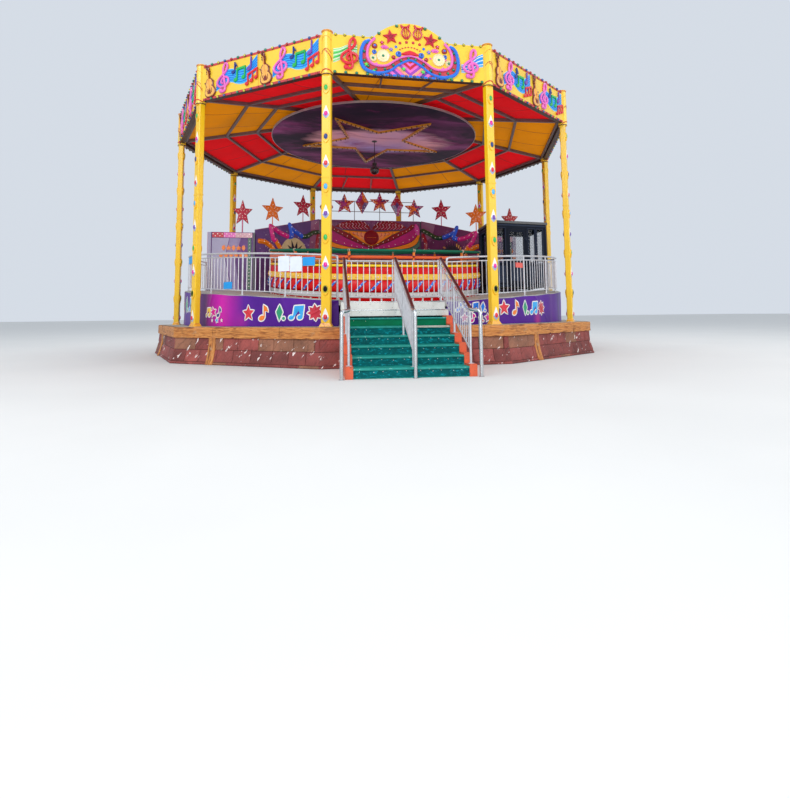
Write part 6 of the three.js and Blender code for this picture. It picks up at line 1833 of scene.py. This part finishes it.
p = Part("booth_frame")
panes = Part("booth_panes")
for side, (A, B) in enumerate(zip(PLAN, PLAN[1:] + PLAN[:1])):
    length = math.hypot(B[0] - A[0], B[1] - A[1])
    T = upright(A, B)
    edges = [0]
    for x0, x1, z0, z1 in OPENINGS[side]:
        edges += [x0, x1]
        p.box((x0, BOOTH_LOW, -.06), (x1, z0, 0), booth_paint, T)
        p.box((x0, z1, -.06), (x1, BOOTH_HIGH, 0), booth_paint, T)
        if z0 == SILL:
            for lo, hi in (((x0, z0), (x1, z0 + .022)), ((x0, z1 - .022), (x1, z1)),
                           ((x0, z0 + .022), (x0 + .02, z1 - .022)), ((x1 - .02, z0 + .022), (x1, z1 - .022))):
                p.box((lo[0], lo[1], -.05), (hi[0], hi[1], .006), booth_edge, T)
            if side in (1, 2):
                panes.box((x0 + .02, z0 + .022, -.034), (x1 - .02, z1 - .022, -.028), glass, T)
    edges.append(length)
    for x0, x1 in zip(edges[::2], edges[1::2]):
        p.box((x0, BOOTH_LOW, -.06), (x1, BOOTH_HIGH, 0), booth_paint, T)
    p.box((0, 1.95, 0), (length, 2, .006) if side else (.52, 2, .006), booth_edge, T)
    p.box((0, 3.89, 0), (length, 3.94, .006), booth_edge, T)
    for x0, x1, z0, z1 in OPENINGS[side]:
        if z0 == SILL:
            p.box((x0 + .03, 2.06, 0), (x1 - .03, 2.6, .004), booth_edge, T)
    corner = Vector((A[0], A[1], 0))
    inward = (Vector((*HEART, 0)) - corner).normalized() * .065
    foot = corner + inward
    low = deck_z(math.degrees(math.atan2(foot.y, foot.x))) + .001
    p.box((foot.x - .04, foot.y - .04, low), (foot.x + .04, foot.y + .04, 1.96), booth_paint)
    p.tube([(A[0], A[1], 1.93), (A[0], A[1], 3.955)], .022, booth_edge, 8)
p.prism(grown(.93), BOOTH_LOW, 1.9853, plate)
T = upright(PLAN[0], PLAN[1])
for z in HINGES:
    p.tube([(1.172, z - .04, .01), (1.172, z - .002, .01)], .016, booth_edge, 10, T=T)
    p.bar((1.188, z - .02, .008), (1.21, z - .02, .003), .03, .01, booth_edge, T)
p.done("black", ["booth_walls"])
panes.done("glass")
p = Part("booth_roof_trim")
OUT = grown(1.045)
for (x0, y0), (x1, y1) in zip(OUT, OUT[1:] + OUT[:1]):
    p.tube([(x0, y0, 4.028), (x1, y1, 4.028)], .012, booth_edge, 8)
p.done("black")
p = Part("booth_door_frame", "booth_door_leaf")
x0, x1, z0, z1 = .528, 1.172, 1.9933, 3.777
for lo, hi in (((x0, z0), (x0 + .08, z1)), ((x1 - .08, z0), (x1, z1)), ((x0 + .08, z1 - .09), (x1 - .08, z1)),
               ((x0 + .08, 2.7), (x1 - .08, 2.79)), ((x0 + .08, z0), (x1 - .08, z0 + .12))):
    p.box((lo[0], lo[1], -.039), (hi[0], hi[1], -.001), booth_paint, T)
p.box((x0 + .08, z0 + .12, -.03), (x1 - .08, 2.7, -.01), booth_edge, T)
p.box((x0 + .08, 2.79, -.023), (x1 - .08, z1 - .09, -.017), glass, T)
for z in HINGES:
    p.tube([(1.172, z + .002, .01), (1.172, z + .04, .01)], .016, booth_edge, 10, T=T)
    p.bar((1.155, z + .02, .008), (1.135, z + .02, 0), .03, .01, booth_edge, T)
p.tube(smooth_path([(.6, 2.75, -.001), (.6, 2.77, .045), (.6, 2.95, .045), (.6, 2.97, -.001)], 4), .01, bright, 8, T=T)
p.done("black", ["booth_door"])

# ---------------------------------------------------------------- floor and light
n = 150
mesh = bpy.data.meshes.new("floor")
mesh.from_pydata([(-n, -n, -.002), (n, -n, -.002), (n, n, -.002), (-n, n, -.002)], [], [(0, 1, 2, 3)])
mesh.materials.append(floor_pale)
ground = bpy.data.objects.new("floor", mesh)
scene.collection.objects.link(ground)

world = bpy.data.worlds.new("studio")
scene.world = world
world.use_nodes = True
back = world.node_tree.nodes["Background"]
back.inputs["Color"].default_value = srgb(.9, .93, .97)
back.inputs["Strength"].default_value = .85


def soft(name, place, aim, size, watts):
    light = bpy.data.lights.new(name, "AREA")
    light.size, light.energy = size, watts
    o = bpy.data.objects.new(name, light)
    scene.collection.objects.link(o)
    aimed = (Vector(aim) - Vector(place)).to_track_quat("-Z", "Y")
    o.matrix_world = Matrix.Translation(place) @ aimed.to_matrix().to_4x4()


soft("key", (-14, -22, 16), (0, 0, 3), 12, 2250)
soft("front", (-3, -26, 5), (0, 2, 3), 10, 900)
soft("fill", (16, -16, 9), (0, 0, 3), 12, 1000)
soft("top", (2, 4, 26), (0, 0, 4), 18, 2400)
